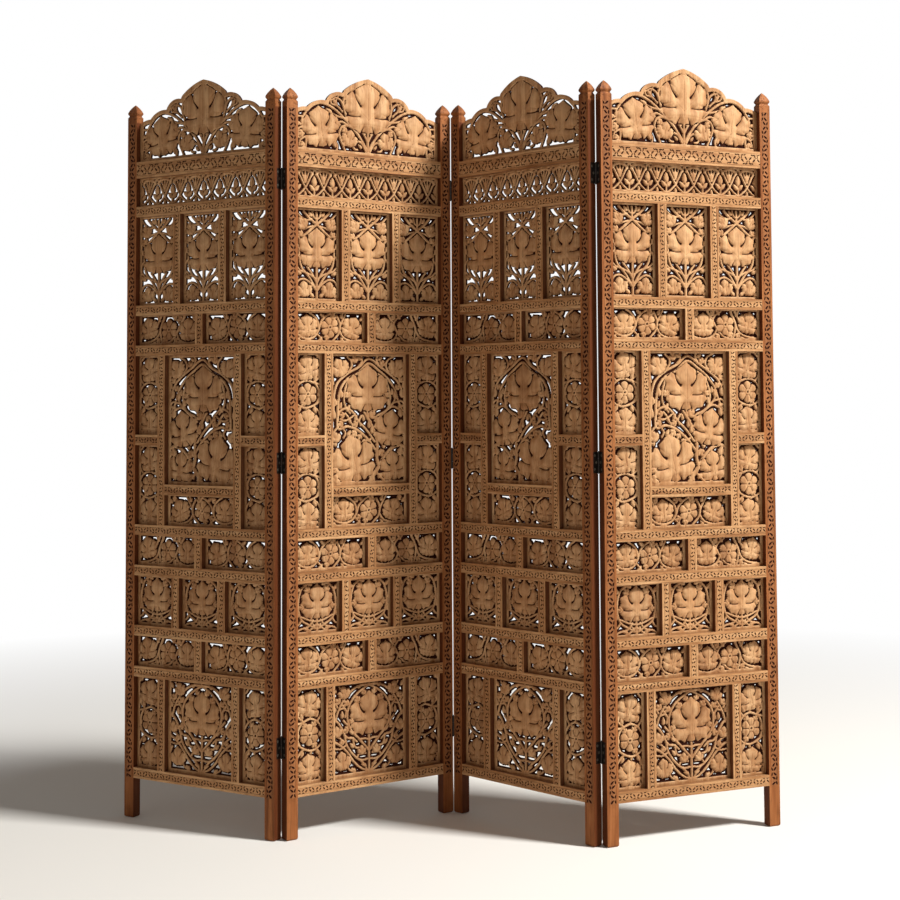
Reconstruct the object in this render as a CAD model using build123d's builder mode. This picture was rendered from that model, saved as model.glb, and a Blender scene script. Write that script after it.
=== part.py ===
import os
from build123d import *
from math import atan2, cos, degrees, hypot, pi, radians, sin

# Four-leaf folding screen of carved, pierced hardwood boards in mortised frames.
# Millimetres, +Z up, +X along the screen to the right, +Y from its front to its back.
# The origin is on the floor, under the centre of the screen as it stands in a zigzag.
# Each leaf is drawn in its own frame: X from its left edge, Y from its front face, Z up.

# ---------------------------------------------------------------- driving dimensions
leaf_w = 476.0
frame_t = 24.0
post_w = 30.0
post_h = 1786.0
foot_h = 98.0
foot_round = 5.0
rail_h = 26.0
top_rail_h = 41.0
muntin_w = 24.0

# clear heights of the rows of openings
tall_h = 224.0
strip_h = 75.0
square_h = 123.0
centre_h = 421.0
lattice_h = 73.0
# clear widths of the narrow side openings
side_w = 74.0
low_side_w = 78.0

crest_h = 193.0
crest_side_h = 99.0

# boards, set in grooves in the frame members
board_t = 8.0
board_recess = 13.0
tongue = 4.0
groove_gap = 0.3
board_border = 7.0
slot_w = 4.5
slot_pitch = 21.0
bridge_w = 5.5

# shallow channel that holds the vine carving on the front of every frame member
channel_depth = 2.0
channel_border = 5.5

# joints of the frame
tenon_t = 8.0
tenon_depth = 10.0
tenon_l = 16.0
stub_l = 9.0
tenon_shoulder = 5.0
mortise_gap = 1.0

# spear finial on each post
neck_drop = 34.0
neck_h = 10.0
neck_cut = 3.0
head_h = 3.0
# the side arc of the head passes this share of the half width, this far above its middle
arch_share = 0.57
arch_rise = 1.2

# folding angles at rest, leaf by leaf, and the gap between neighbouring leaves
leaf_yaw = (-32.0, 35.5, -46.5, 24.5)
fold_gap = 1.0
pin_offset = 1.0

# butt hinges
hinge_h = 50.0
hinge_z = (214.0, 884.0, 1565.0)
plate_t = 2.0
plate_w = 15.0
plate_sunk = 1.8
# from the pin axis to the full-height part of a plate
plate_start = 3.0
barrel_r = 2.9
barrel_gap = 0.3
pin_r = 1.4
pin_clearance = 0.05
pin_head_h = 1.5
pin_head_r = 2.2
screw_r = 1.7
screw_head_r = 3.2
screw_l = 11.0
screw_pitch = 16.0
screw_stagger = 2.5

# ---------------------------------------------------------------- sizes that follow
inner_w = leaf_w - 2 * post_w
mid_x = leaf_w / 2
stacked_rows = (tall_h, strip_h, square_h, strip_h, centre_h, strip_h, tall_h, lattice_h)
row_bottom = []
rail_bottom = [foot_h]
for row_h in stacked_rows:
    row_bottom.append(rail_bottom[-1] + rail_h)
    rail_bottom.append(row_bottom[-1] + row_h)
low_row, low_strip, square_row, mid_strip, centre_row, high_strip, tall_row, lattice_row = row_bottom
top_rail_z = rail_bottom[-1]
crest_z = top_rail_z + top_rail_h

third_w = (inner_w - 2 * muntin_w) / 3
half_w = (inner_w - muntin_w) / 2
side_h = (centre_h - rail_h) / 2
centre_w = inner_w - 2 * muntin_w - 2 * side_w
low_centre_w = inner_w - 2 * muntin_w - 2 * low_side_w
sill_z = centre_row + strip_h
window_h = centre_h - strip_h - rail_h
groove_d = tongue + groove_gap
plate_in = plate_start - pin_offset
seat_w = plate_in + plate_w
barrel_seat_r = barrel_r + barrel_gap
barrel_seat_h = hinge_h + 2 * (pin_head_h + barrel_gap)


def middle(low, size):
    """Middle of a stretch that starts at low."""
    return low + size / 2


# ---------------------------------------------------------------- layout of one leaf
# Openings as (x, z) of the centre, in leaf coordinates.
third_step = third_w + muntin_w
half_step = half_w + muntin_w
side_x = mid_x - post_w - side_w / 2
low_side_x = mid_x - post_w - low_side_w / 2

tall_spots = [(mid_x + i * third_step, middle(tall_row, tall_h)) for i in (-1, 0, 1)]
square_spots = [(mid_x + i * third_step, middle(square_row, square_h)) for i in (-1, 0, 1)]
strip_spots = [
    (mid_x + side * half_step / 2, middle(z, strip_h))
    for z in (low_strip, mid_strip, high_strip)
    for side in (-1, 1)
]
sill_spot = (mid_x, middle(centre_row, strip_h))
window_spot = (mid_x, middle(sill_z + rail_h, window_h))
low_centre_spot = (mid_x, middle(low_row, tall_h))
side_spots = [
    (mid_x + side * side_x, middle(z, side_h))
    for z in (centre_row, centre_row + side_h + rail_h)
    for side in (-1, 1)
]
low_side_spots = [(mid_x + side * low_side_x, middle(low_row, tall_h)) for side in (-1, 1)]
lattice_spot = (mid_x, middle(lattice_row, lattice_h))

openings = (
    [(spot, third_w, tall_h) for spot in tall_spots]
    + [(spot, third_w, square_h) for spot in square_spots]
    + [(spot, half_w, strip_h) for spot in strip_spots]
    + [(spot, side_w, side_h) for spot in side_spots]
    + [(spot, low_side_w, tall_h) for spot in low_side_spots]
    + [(sill_spot, centre_w, strip_h), (window_spot, centre_w, window_h)]
    + [(low_centre_spot, low_centre_w, tall_h), (lattice_spot, inner_w, lattice_h)]
)

# Muntins as (x, z of the bottom, height): two, one, two, one, two, one, two, row by row.
centre_muntin_x = (centre_w + muntin_w) / 2
low_muntin_x = (low_centre_w + muntin_w) / 2
muntins_at = (
    [(mid_x + side * low_muntin_x, low_row, tall_h) for side in (-1, 1)]
    + [(mid_x + side * third_step / 2, square_row, square_h) for side in (-1, 1)]
    + [(mid_x + side * centre_muntin_x, centre_row, centre_h) for side in (-1, 1)]
    + [(mid_x + side * third_step / 2, tall_row, tall_h) for side in (-1, 1)]
    + [(mid_x, z, strip_h) for z in (low_strip, mid_strip, high_strip)]
)

# Rails as (x, z of the bottom, length, height).
side_rail_z = centre_row + side_h
full_rails_at = [(mid_x, z, inner_w, rail_h) for z in rail_bottom[:-1]]
full_rails_at.append((mid_x, top_rail_z, inner_w, top_rail_h))
cross_rails_at = [(mid_x + side * side_x, side_rail_z, side_w, rail_h) for side in (-1, 1)]
cross_rails_at.append((mid_x, sill_z, centre_w, rail_h))


# ---------------------------------------------------------------- grooves and mortises
def front_plane(depth, x=0.0, z=0.0):
    """Upright plane this deep inside the leaf, seen from the front: +x right, +y up."""
    return Plane(origin=(x, depth, z), x_dir=(1, 0, 0), z_dir=(0, -1, 0))


def edge_plane(x):
    """Upright plane across the leaf, with its y axis up the middle of the leaf's thickness."""
    return Plane(origin=(x, frame_t / 2, 0), x_dir=(0, 1, 0), z_dir=(1, 0, 0))


with BuildPart() as grooves:
    for (x, z), w, h in openings:
        with Locations((x, board_recess + board_t / 2, z)):
            Box(w + 2 * groove_d, board_t, h + 2 * groove_d)
    with Locations((mid_x, board_recess + board_t / 2, crest_z + (crest_side_h - groove_d) / 2)):
        Box(inner_w + 2 * groove_d, board_t, crest_side_h + groove_d)

def tenon_size(length, size, gap=0.0):
    """Length, thickness and height of the tenon on a rail of this height."""
    return length + gap, tenon_t, size - 2 * tenon_shoulder


with BuildPart() as mortises:
    for x, z, w, h in full_rails_at + cross_rails_at:
        with Locations((x, tenon_depth, middle(z, h))):
            reach, thick, high = tenon_size(w + 2 * tenon_l, h, 2 * mortise_gap)
            Box(reach, thick, high)

with BuildPart() as stub_mortises:
    for x, z, h in muntins_at:
        with Locations((x, tenon_depth, middle(z, h))):
            reach, thick, wide = tenon_size(h + 2 * stub_l, muntin_w, 2 * mortise_gap)
            Box(wide, thick, reach)


# ---------------------------------------------------------------- posts
screw_spots = [
    (screw_stagger * (1 if i == 0 else -1), i * screw_pitch) for i in (-1, 0, 1)
]


def finial_profile(width):
    """Outline of a post in one view: foot, neck notches, square head and pointed arch."""
    half = width / 2
    neck_z = post_h - neck_drop
    head_z = neck_z + neck_h
    arch_z = head_z + head_h
    with BuildSketch() as outline:
        with BuildLine():
            neck = (neck_cut - half, middle(neck_z, neck_h))
            Polyline((-half, 0), (-half, neck_z), neck, (-half, head_z))
            Line((-half, head_z), (-half, arch_z))
            arch_mid = middle(arch_z, post_h - arch_z) + arch_rise
            ThreePointArc((-half, arch_z), (-half * arch_share, arch_mid), (0, post_h))
            mirror(about=Plane.YZ)
            Line((-half, 0), (half, 0))
        make_face()
    return outline.sketch


def hinge_side(fold):
    """+1 where the fold's hinges are at the back of the leaves, -1 at the front."""
    return -1 if fold == 1 else 1


def from_face(side, depth):
    """Y of a point this deep in the leaf, measured from its back (+1) or its front (-1)."""
    return frame_t / 2 + side * (frame_t / 2 - depth)


def cut_hinge_seats(edge_x, inward, side):
    """Sinkings for the plates and barrels and pilot holes for the screws in one edge of a post."""
    screw_y = from_face(side, plate_in + plate_w / 2)
    for z in hinge_z:
        with Locations((edge_x + inward * plate_sunk / 2, from_face(side, seat_w / 2), z)):
            Box(plate_sunk, seat_w, hinge_h, mode=Mode.SUBTRACT)
        with Locations((edge_x - inward * fold_gap / 2, from_face(side, -pin_offset), z)):
            Cylinder(barrel_seat_r, barrel_seat_h, mode=Mode.SUBTRACT)
        for y, dz in screw_spots:
            with Locations((edge_x + inward * (plate_sunk + screw_l / 2), screw_y + y, z + dz)):
                Cylinder(screw_r, screw_l, rotation=(0, 90, 0), mode=Mode.SUBTRACT)


def make_post(center_x, inward, hinge_at):
    """One post, with its finial, channel, grooves and mortises. hinge_at is None on a free edge."""
    with BuildPart() as post:
        with BuildSketch(front_plane(0, center_x)):
            add(finial_profile(post_w))
        extrude(amount=-frame_t)
        with BuildSketch(edge_plane(center_x - post_w / 2)):
            add(finial_profile(frame_t))
        extrude(amount=post_w, mode=Mode.INTERSECT)
        fillet(post.faces().sort_by(Axis.Z)[0].edges(), foot_round)
        channel_top = crest_z + crest_side_h
        with Locations((center_x, channel_depth / 2, middle(foot_h, channel_top - foot_h))):
            Box(post_w - 2 * channel_border, channel_depth, channel_top - foot_h, mode=Mode.SUBTRACT)
        add(grooves.part, mode=Mode.SUBTRACT)
        add(mortises.part, mode=Mode.SUBTRACT)
        if hinge_at is not None:
            cut_hinge_seats(center_x - inward * post_w / 2, inward, hinge_at)
    return post


# ---------------------------------------------------------------- rails and muntins
def add_rail(x, z, length, height):
    """Rail with a tenon at each end and a channel along its front."""
    with Locations((x, frame_t / 2, middle(z, height))):
        Box(length, frame_t, height)
    with Locations((x, tenon_depth, middle(z, height))):
        Box(*tenon_size(length + 2 * tenon_l, height))
    with Locations((x, channel_depth / 2, middle(z, height))):
        Box(length, channel_depth, height - 2 * channel_border, mode=Mode.SUBTRACT)


with BuildPart() as rails:
    for rail in full_rails_at + cross_rails_at:
        add_rail(*rail)
    add(grooves.part, mode=Mode.SUBTRACT)
    add(stub_mortises.part, mode=Mode.SUBTRACT)

with BuildPart() as muntins:
    for x, z, height in muntins_at:
        with Locations((x, frame_t / 2, middle(z, height))):
            Box(muntin_w, frame_t, height)
        with Locations((x, tenon_depth, middle(z, height))):
            reach, thick, wide = tenon_size(height + 2 * stub_l, muntin_w)
            Box(wide, thick, reach)
        with Locations((x, channel_depth / 2, middle(z, height))):
            Box(muntin_w - 2 * channel_border, channel_depth, height, mode=Mode.SUBTRACT)
    add(grooves.part, mode=Mode.SUBTRACT)
    add(mortises.part, mode=Mode.SUBTRACT)


# ---------------------------------------------------------------- pierced boards
def leaf_ring(x, y, radius):
    """Ring of slots that outlines one carved leaf or flower and leaves it held by bridges."""
    count = max(5, round(2 * pi * radius / slot_pitch))
    length = 2 * pi * radius / count - bridge_w
    with Locations((x, y)):
        with PolarLocations(radius, count, start_angle=90 + 180 / count):
            SlotOverall(length, slot_w, rotation=90)


def stem_slot(start, end):
    """Straight slot beside a carved stem, from one point to another."""
    run = hypot(end[0] - start[0], end[1] - start[1])
    turn = degrees(atan2(end[1] - start[1], end[0] - start[0]))
    with Locations(((start[0] + end[0]) / 2, (start[1] + end[1]) / 2)):
        SlotOverall(run, slot_w, rotation=turn)


def board_holes(spot, w, h, rings, stems=(), flip=1):
    """One board's piercing. Places are shares of the opening's half width and height."""
    x0, z0 = spot
    half_x = w / 2 - board_border
    half_z = h / 2 - board_border
    with BuildSketch(front_plane(board_recess)) as holes:
        for x, z, radius in rings:
            leaf_ring(x0 + flip * x * half_x, z0 + z * half_z, radius)
        for (xa, za), (xb, zb) in stems:
            start = (x0 + flip * xa * half_x, z0 + za * half_z)
            stem_slot(start, (x0 + flip * xb * half_x, z0 + zb * half_z))
        with Locations((x0, z0)):
            Rectangle(2 * half_x, 2 * half_z, mode=Mode.INTERSECT)
    return holes.sketch


def pierce(holes):
    """Cut a piercing through the board it is drawn on."""
    extrude(holes, amount=-board_t, mode=Mode.SUBTRACT)


def blank(spot, w, h):
    """Board that fills an opening, with its tongues."""
    with Locations((spot[0], board_recess + board_t / 2, spot[1])):
        Box(w + 2 * tongue, board_t, h + 2 * tongue)


def both_sides(marks):
    """Ring or stem marks together with their mirror images."""
    twins = []
    for mark in marks:
        if isinstance(mark[0], tuple):
            (xa, za), (xb, zb) = mark
            twins += [mark, ((-xa, za), (-xb, zb))]
        else:
            x, z, radius = mark
            twins += [mark, (-x, z, radius)]
    return twins


def board_set(spots, w, h, rings, stems=(), flip=1):
    """Node of equal boards, one in each of the openings."""
    with BuildPart() as boards:
        for spot in spots:
            blank(spot, w, h)
        for spot in spots:
            pierce(board_holes(spot, w, h, rings, stems, flip))
    return boards


tall_leaf_r = third_w * 0.37
tall_boards = board_set(
    tall_spots,
    third_w,
    tall_h,
    [(0, 0.14, tall_leaf_r)] + both_sides([(0.56, -0.72, third_w * 0.15)]),
    both_sides([
        ((0.95, 0.66), (0.3, 0.9)),
        ((0.42, 0.72), (0.12, 0.8)),
        ((0.1, -0.46), (0.1, -0.9)),
        ((0.35, -0.38), (0.62, -0.4)),
        ((0.92, -0.28), (0.92, -0.44)),
    ]),
)

square_boards = board_set(
    square_spots,
    third_w,
    square_h,
    [(0, 0.12, third_w * 0.36)],
    both_sides([((0.15, -0.9), (0.5, -0.86)), ((0.92, 0.5), (0.92, 0.9)), ((0.92, -0.9), (0.92, -0.55))]),
)

strip_boards = board_set(
    strip_spots,
    half_w,
    strip_h,
    [(0, 0, strip_h * 0.28)] + both_sides([(0.66, 0, strip_h * 0.31)]),
    both_sides([((0.32, 0.85), (0.36, 0.5)), ((0.32, -0.85), (0.36, -0.5))]),
)
with BuildPart() as landscape_boards:
    add(strip_boards.part)
    blank(sill_spot, centre_w, strip_h)
    sill_rings = [(0, 0, strip_h * 0.28)] + both_sides([(0.64, 0, strip_h * 0.31)])
    sill_stems = both_sides([((0.31, 0.85), (0.34, 0.5)), ((0.31, -0.85), (0.34, -0.5))])
    pierce(board_holes(sill_spot, centre_w, strip_h, sill_rings, sill_stems))

narrow_rings = [(0, 0, side_w * 0.28), (0, 0.66, side_w * 0.3), (0, -0.66, side_w * 0.3)]
narrow_stems = both_sides([((0.85, 0.32), (0.5, 0.34)), ((0.85, -0.32), (0.5, -0.34))])


def make_narrow_boards(flip):
    """Six upright boards beside the centre and bottom openings."""
    with BuildPart() as boards:
        for spots, w, h in ((side_spots, side_w, side_h), (low_side_spots, low_side_w, tall_h)):
            for spot in spots:
                blank(spot, w, h)
            for spot in spots:
                pierce(board_holes(spot, w, h, narrow_rings, narrow_stems, flip))
    return boards


# The large board: a leaf under an arch, one beside it, and two at the foot of the stem.
window_rings = [
    (0.0, 0.5, centre_w * 0.225),
    (0.55, -0.02, centre_w * 0.165),
    (-0.46, -0.5, centre_w * 0.225),
    (0.6, -0.7, centre_w * 0.14),
    (-0.62, 0.06, centre_w * 0.09),
]
window_stems = both_sides([
    ((0.92, 0.5), (0.62, 0.8)),
    ((0.5, 0.84), (0.1, 0.97)),
    ((0.95, 0.86), (0.7, 0.95)),
])
window_stems += [((0.02, -0.2), (0.1, -0.5)), ((0.12, -0.58), (0.2, -0.8)), ((-0.1, 0.05), (0.1, -0.08))]

low_centre_rings = [(0.0, 0.22, low_centre_w * 0.25)] + both_sides([(0.72, -0.72, low_centre_w * 0.1)])
low_centre_stems = both_sides([
    ((0.9, 0.85), (0.6, 0.88)),
    ((0.74, 0.66), (0.88, 0.4)),
    ((0.92, 0.24), (0.9, -0.08)),
    ((0.82, -0.2), (0.66, -0.42)),
    ((0.46, -0.5), (0.28, -0.72)),
    ((0.1, -0.46), (0.1, -0.68)),
    ((0.36, -0.92), (0.08, -0.9)),
])


def make_centre_boards(flip):
    """The large board of the centre row and the wide one of the bottom row."""
    with BuildPart() as boards:
        blank(window_spot, centre_w, window_h)
        blank(low_centre_spot, low_centre_w, tall_h)
        pierce(board_holes(window_spot, centre_w, window_h, window_rings, window_stems, flip))
        pierce(board_holes(low_centre_spot, low_centre_w, tall_h, low_centre_rings, low_centre_stems, flip))
    return boards


# The lattice board: crossing stems in equal bays, so each bay keeps four holes.
bays = 8
bay_w = (inner_w - 2 * board_border) / bays
bay_hole_w = bay_w * 0.13
with BuildPart() as lattice_board:
    blank(lattice_spot, inner_w, lattice_h)
    with BuildSketch(front_plane(board_recess)):
        with Locations(lattice_spot):
            with GridLocations(bay_w, lattice_h * 0.46, bays, 2):
                Ellipse(bay_hole_w, lattice_h * 0.15)
            with GridLocations(bay_w, 0, bays - 1, 1):
                Ellipse(bay_hole_w, lattice_h * 0.2)
    extrude(amount=-board_t, mode=Mode.SUBTRACT)

# The crest: a pointed arch between two stepped foils on each side.
foil_ends = (
    (0.0, 1.0),
    (0.335, 0.82),
    (0.352, 0.785),
    (0.572, 0.69),
    (0.582, 0.665),
    (0.84, 0.56),
    (1.0, crest_side_h / crest_h),
)
foil_tops = ((0.17, 0.937), None, (0.475, 0.778), None, (0.72, 0.648), (0.925, 0.55))


def crest_point(share):
    """Point of the crest's outline, from shares of its half width and height."""
    return share[0] * inner_w / 2, share[1] * crest_h


crest_rings = [(0, 0.18, crest_h * 0.26)]
crest_rings += both_sides([(0.66, -0.38, crest_h * 0.22), (0.3, -0.66, crest_h * 0.105)])
crest_stems = both_sides([
    ((0.36, 0.42), (0.52, 0.38)),
    ((0.34, 0.1), (0.42, -0.14)),
    ((0.06, -0.52), (0.06, -0.86)),
    ((0.93, -0.2), (0.94, -0.5)),
])

with BuildPart() as crest_board:
    with BuildSketch(front_plane(board_recess, mid_x, crest_z)):
        with BuildLine():
            for i, top in enumerate(foil_tops):
                if top is None:
                    Line(crest_point(foil_ends[i]), crest_point(foil_ends[i + 1]))
                else:
                    ThreePointArc(
                        crest_point(foil_ends[i]), crest_point(top), crest_point(foil_ends[i + 1])
                    )
            edge_x = inner_w / 2
            tongue_z = crest_side_h - groove_gap
            Polyline((edge_x, crest_side_h), (edge_x, tongue_z), (edge_x + tongue, tongue_z))
            Line((edge_x + tongue, tongue_z), (edge_x + tongue, -tongue))
            mirror(about=Plane.YZ)
            Line((edge_x + tongue, -tongue), (-edge_x - tongue, -tongue))
        make_face()
    extrude(amount=-board_t)
    crest_spot = (mid_x, crest_z + crest_h / 2)
    pierce(board_holes(crest_spot, inner_w, crest_h, crest_rings, crest_stems))


# ---------------------------------------------------------------- hinges
def hinge_plate(side, toward, knuckles):
    """Three plates on one leaf edge. The pin is at the origin; toward is the way to the frame."""
    flat_x = side * (fold_gap / 2 + plate_sunk - plate_t / 2)
    knuckle_h = hinge_h / 3
    reach = plate_start + plate_w
    with BuildPart() as plates:
        for z in hinge_z:
            with Locations((flat_x, toward * (plate_start + plate_w / 2), z)):
                Box(plate_t, plate_w, hinge_h)
            for k in knuckles:
                with Locations((flat_x, toward * reach / 2, z + k * knuckle_h)):
                    Box(plate_t, reach, knuckle_h - barrel_gap)
                with Locations((0, 0, z + k * knuckle_h)):
                    Cylinder(barrel_r, knuckle_h - barrel_gap)
        for z in hinge_z:
            bore = pin_r + (pin_clearance if len(knuckles) == 1 else 0.0)
            with Locations((0, 0, z)):
                Cylinder(bore, hinge_h, mode=Mode.SUBTRACT)
            for y, dz in screw_spots:
                face_x = side * (fold_gap / 2 + plate_sunk - plate_t)
                screw_y = toward * (plate_start + plate_w / 2) + y
                with Locations((face_x + side * plate_t / 2, screw_y, z + dz)):
                    Cone(
                        screw_head_r, screw_r, plate_t, rotation=(0, 90 * side, 0), mode=Mode.SUBTRACT
                    )
    return plates


def hinge_screws(side, toward):
    """Countersunk screws that hold three plates to one leaf edge."""
    face_x = side * (fold_gap / 2 + plate_sunk - plate_t)
    with BuildPart() as screws:
        for z in hinge_z:
            for y, dz in screw_spots:
                y_mid = toward * (plate_start + plate_w / 2) + y
                with Locations((face_x + side * plate_t / 2, y_mid, z + dz)):
                    Cone(screw_head_r, screw_r, plate_t, rotation=(0, 90 * side, 0))
                with Locations((face_x + side * (plate_t + screw_l / 2), y_mid, z + dz)):
                    Cylinder(screw_r, screw_l, rotation=(0, 90, 0))
    return screws


with BuildPart() as hinge_pins:
    for z in hinge_z:
        with Locations((0, 0, z)):
            Cylinder(pin_r, hinge_h)
        with Locations((0, 0, z + (hinge_h + pin_head_h) / 2), (0, 0, z - (hinge_h + pin_head_h) / 2)):
            Cylinder(pin_head_r, pin_head_h)


# ---------------------------------------------------------------- the standing zigzag
def turned(angle, x, y):
    """Leaf coordinates (x, y) turned into the screen's directions."""
    a = radians(angle)
    return x * cos(a) - y * sin(a), x * sin(a) + y * cos(a)


def pin_in_leaf(fold, right_edge):
    """Pin axis of a fold in the coordinates of the leaf on one side of it."""
    x = leaf_w + fold_gap / 2 if right_edge else -fold_gap / 2
    return x, from_face(hinge_side(fold), -pin_offset)


corners = [(0.0, 0.0)]
for fold in range(3):
    to_pin = turned(leaf_yaw[fold], *pin_in_leaf(fold, True))
    from_pin = turned(leaf_yaw[fold + 1], *pin_in_leaf(fold, False))
    corners.append(
        (corners[-1][0] + to_pin[0] - from_pin[0], corners[-1][1] + to_pin[1] - from_pin[1])
    )

plan_x = []
plan_y = []
for corner, yaw in zip(corners, leaf_yaw):
    for x in (0, leaf_w):
        for y in (0, frame_t):
            dx, dy = turned(yaw, x, y)
            plan_x.append(corner[0] + dx)
            plan_y.append(corner[1] + dy)
for fold in range(3):
    dx, dy = turned(leaf_yaw[fold], *pin_in_leaf(fold, True))
    plan_x += [corners[fold][0] + dx - barrel_r, corners[fold][0] + dx + barrel_r]
    plan_y += [corners[fold][1] + dy - barrel_r, corners[fold][1] + dy + barrel_r]
shift_x = (min(plan_x) + max(plan_x)) / 2
shift_y = (min(plan_y) + max(plan_y)) / 2


def leaf_plane(leaf):
    """Plane at a leaf's bottom left front corner, turned to the leaf's angle."""
    x, y = corners[leaf]
    return Plane(Location((x - shift_x, y - shift_y, 0), (0, 0, leaf_yaw[leaf])))


def pin_plane(fold, right_edge):
    """Plane on a fold's pin axis, turned with the leaf on one side of it."""
    leaf = fold if right_edge else fold + 1
    x, y = corners[leaf]
    dx, dy = turned(leaf_yaw[leaf], *pin_in_leaf(fold, right_edge))
    return Plane(Location((x + dx - shift_x, y + dy - shift_y, 0), (0, 0, leaf_yaw[leaf])))


# ---------------------------------------------------------------- nodes
os.makedirs("parts", exist_ok=True)


def write_node(design, plane, label):
    """Place a design on a plane and write it as one node."""
    with BuildPart(plane) as node:
        add(design.part, clean=False)
    node.part.label = label
    export_step(node.part, f"parts/{label}.step", write_pcurves=False)


half_post = post_w / 2
free_left_post = make_post(half_post, 1, None)
free_right_post = make_post(leaf_w - half_post, -1, None)
left_posts = {side: make_post(half_post, 1, side) for side in (1, -1)}
right_posts = {side: make_post(leaf_w - half_post, -1, side) for side in (1, -1)}

narrow_boards = {flip: make_narrow_boards(flip) for flip in (1, -1)}
centre_boards = {flip: make_centre_boards(flip) for flip in (1, -1)}

for leaf in range(4):
    place = leaf_plane(leaf)
    name = f"leaf_{leaf + 1}"
    # leaves 1 and 3 are carved as mirror images of leaves 2 and 4
    flip = 1 if leaf % 2 else -1
    left_post = free_left_post if leaf == 0 else left_posts[hinge_side(leaf - 1)]
    right_post = free_right_post if leaf == 3 else right_posts[hinge_side(leaf)]
    write_node(left_post, place, f"{name}_left_post")
    write_node(right_post, place, f"{name}_right_post")
    write_node(rails, place, f"{name}_rails")
    write_node(muntins, place, f"{name}_muntins")
    write_node(crest_board, place, f"{name}_crest_board")
    write_node(lattice_board, place, f"{name}_lattice_board")
    write_node(tall_boards, place, f"{name}_tall_boards")
    write_node(landscape_boards, place, f"{name}_landscape_boards")
    write_node(narrow_boards[flip], place, f"{name}_narrow_boards")
    write_node(square_boards, place, f"{name}_square_boards")
    write_node(centre_boards[flip], place, f"{name}_centre_boards")

for fold in range(3):
    toward = -hinge_side(fold)
    name = f"fold_{fold + 1}_{fold + 2}"
    left_place = pin_plane(fold, True)
    right_place = pin_plane(fold, False)
    write_node(hinge_plate(-1, toward, (-1, 1)), left_place, f"{name}_left_plates")
    write_node(hinge_screws(-1, toward), left_place, f"{name}_left_screws")
    write_node(hinge_pins, left_place, f"{name}_pins")
    write_node(hinge_plate(1, toward, (0,)), right_place, f"{name}_right_plates")
    write_node(hinge_screws(1, toward), right_place, f"{name}_right_screws")
    pin_x, pin_y = left_place.origin.X, left_place.origin.Y
    angle = 180 - abs(leaf_yaw[fold] - leaf_yaw[fold + 1])
    print(f"{name}: pin at {pin_x:.5f}, {pin_y:.5f}; {angle:.1f} degrees between the leaves")
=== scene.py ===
import math
import bpy
import numpy as np
from mathutils import Matrix, Vector
from mathutils.geometry import delaunay_2d_cdt


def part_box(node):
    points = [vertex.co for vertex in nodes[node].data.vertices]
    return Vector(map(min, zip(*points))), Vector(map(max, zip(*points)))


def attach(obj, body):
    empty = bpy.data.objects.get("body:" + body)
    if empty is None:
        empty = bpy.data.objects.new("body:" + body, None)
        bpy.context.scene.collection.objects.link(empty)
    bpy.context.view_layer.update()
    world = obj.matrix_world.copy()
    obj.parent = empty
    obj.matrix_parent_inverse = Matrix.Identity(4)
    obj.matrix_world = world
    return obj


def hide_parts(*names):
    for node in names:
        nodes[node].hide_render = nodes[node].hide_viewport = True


# A carved folding screen, dressed round its CAD frame. The carving is drawn in millimetres, each
# board in its own plane with x to the right and z up, and becomes meshes in metres. Every leaf
# carries the same carved boards and vine bands, or their mirror image, where the CAD has its own.

# ---- a leaf's layout, mm
LEAF_W, POST_W, MUNTIN_W, RAIL_H, TOP_RAIL_H = 476.0, 30.0, 24.0, 26.0, 41.0
TALL_H, STRIP_H, SQUARE_H, CENTRE_H, LATTICE_H = 224.0, 75.0, 123.0, 421.0, 73.0
SIDE_W, LOW_SIDE_W, FOOT_H, SIDE_CREST, CREST_H = 74.0, 78.0, 98.0, 99.0, 193.0
BORDER = 5.5                # plain edge of a member beside its vine
FRONT, BACK = 13.2, 21.0    # depth of the boards' highest carving and of their backs
INNER = LEAF_W - 2 * POST_W
MID = LEAF_W / 2
ROWS, RAILS = [], [FOOT_H]
for size in (TALL_H, STRIP_H, SQUARE_H, STRIP_H, CENTRE_H, STRIP_H, TALL_H, LATTICE_H):
    ROWS.append(RAILS[-1] + RAIL_H)
    RAILS.append(ROWS[-1] + size)
LOW, STRIP1, SQUARE, STRIP2, CENTRE, STRIP3, TALL, LATTICE = ROWS
CREST_Z = RAILS[-1] + TOP_RAIL_H
CREST_MID = CREST_H / 2 - 0.5
THIRD = (INNER - 2 * MUNTIN_W) / 3
HALF = (INNER - MUNTIN_W) / 2
THIRD_STEP, HALF_STEP = THIRD + MUNTIN_W, HALF + MUNTIN_W
SIDE_H = (CENTRE_H - RAIL_H) / 2
CENTRE_W = INNER - 2 * MUNTIN_W - 2 * SIDE_W
LOW_W = INNER - 2 * MUNTIN_W - 2 * LOW_SIDE_W
SILL = CENTRE + STRIP_H
WINDOW_H = CENTRE_H - STRIP_H - RAIL_H

YAW = (-32.0, 35.5, -46.5, 24.5)        # how the leaves stand, in degrees about z
POST_T = 24.0                           # posts from front to back

# web of ground, mm, on leaves of each hand: 1 for 2 and 4, -1 for their mirror images
WEB = {1: 4.4, -1: 3.4}
# and on the mirror images' top rows, which are pierced more
OPEN_WEB = {"crest_board": 1.8, "lattice_board": 1.3, "tall_boards": 1.5}

rng = np.random.default_rng(7)

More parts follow.
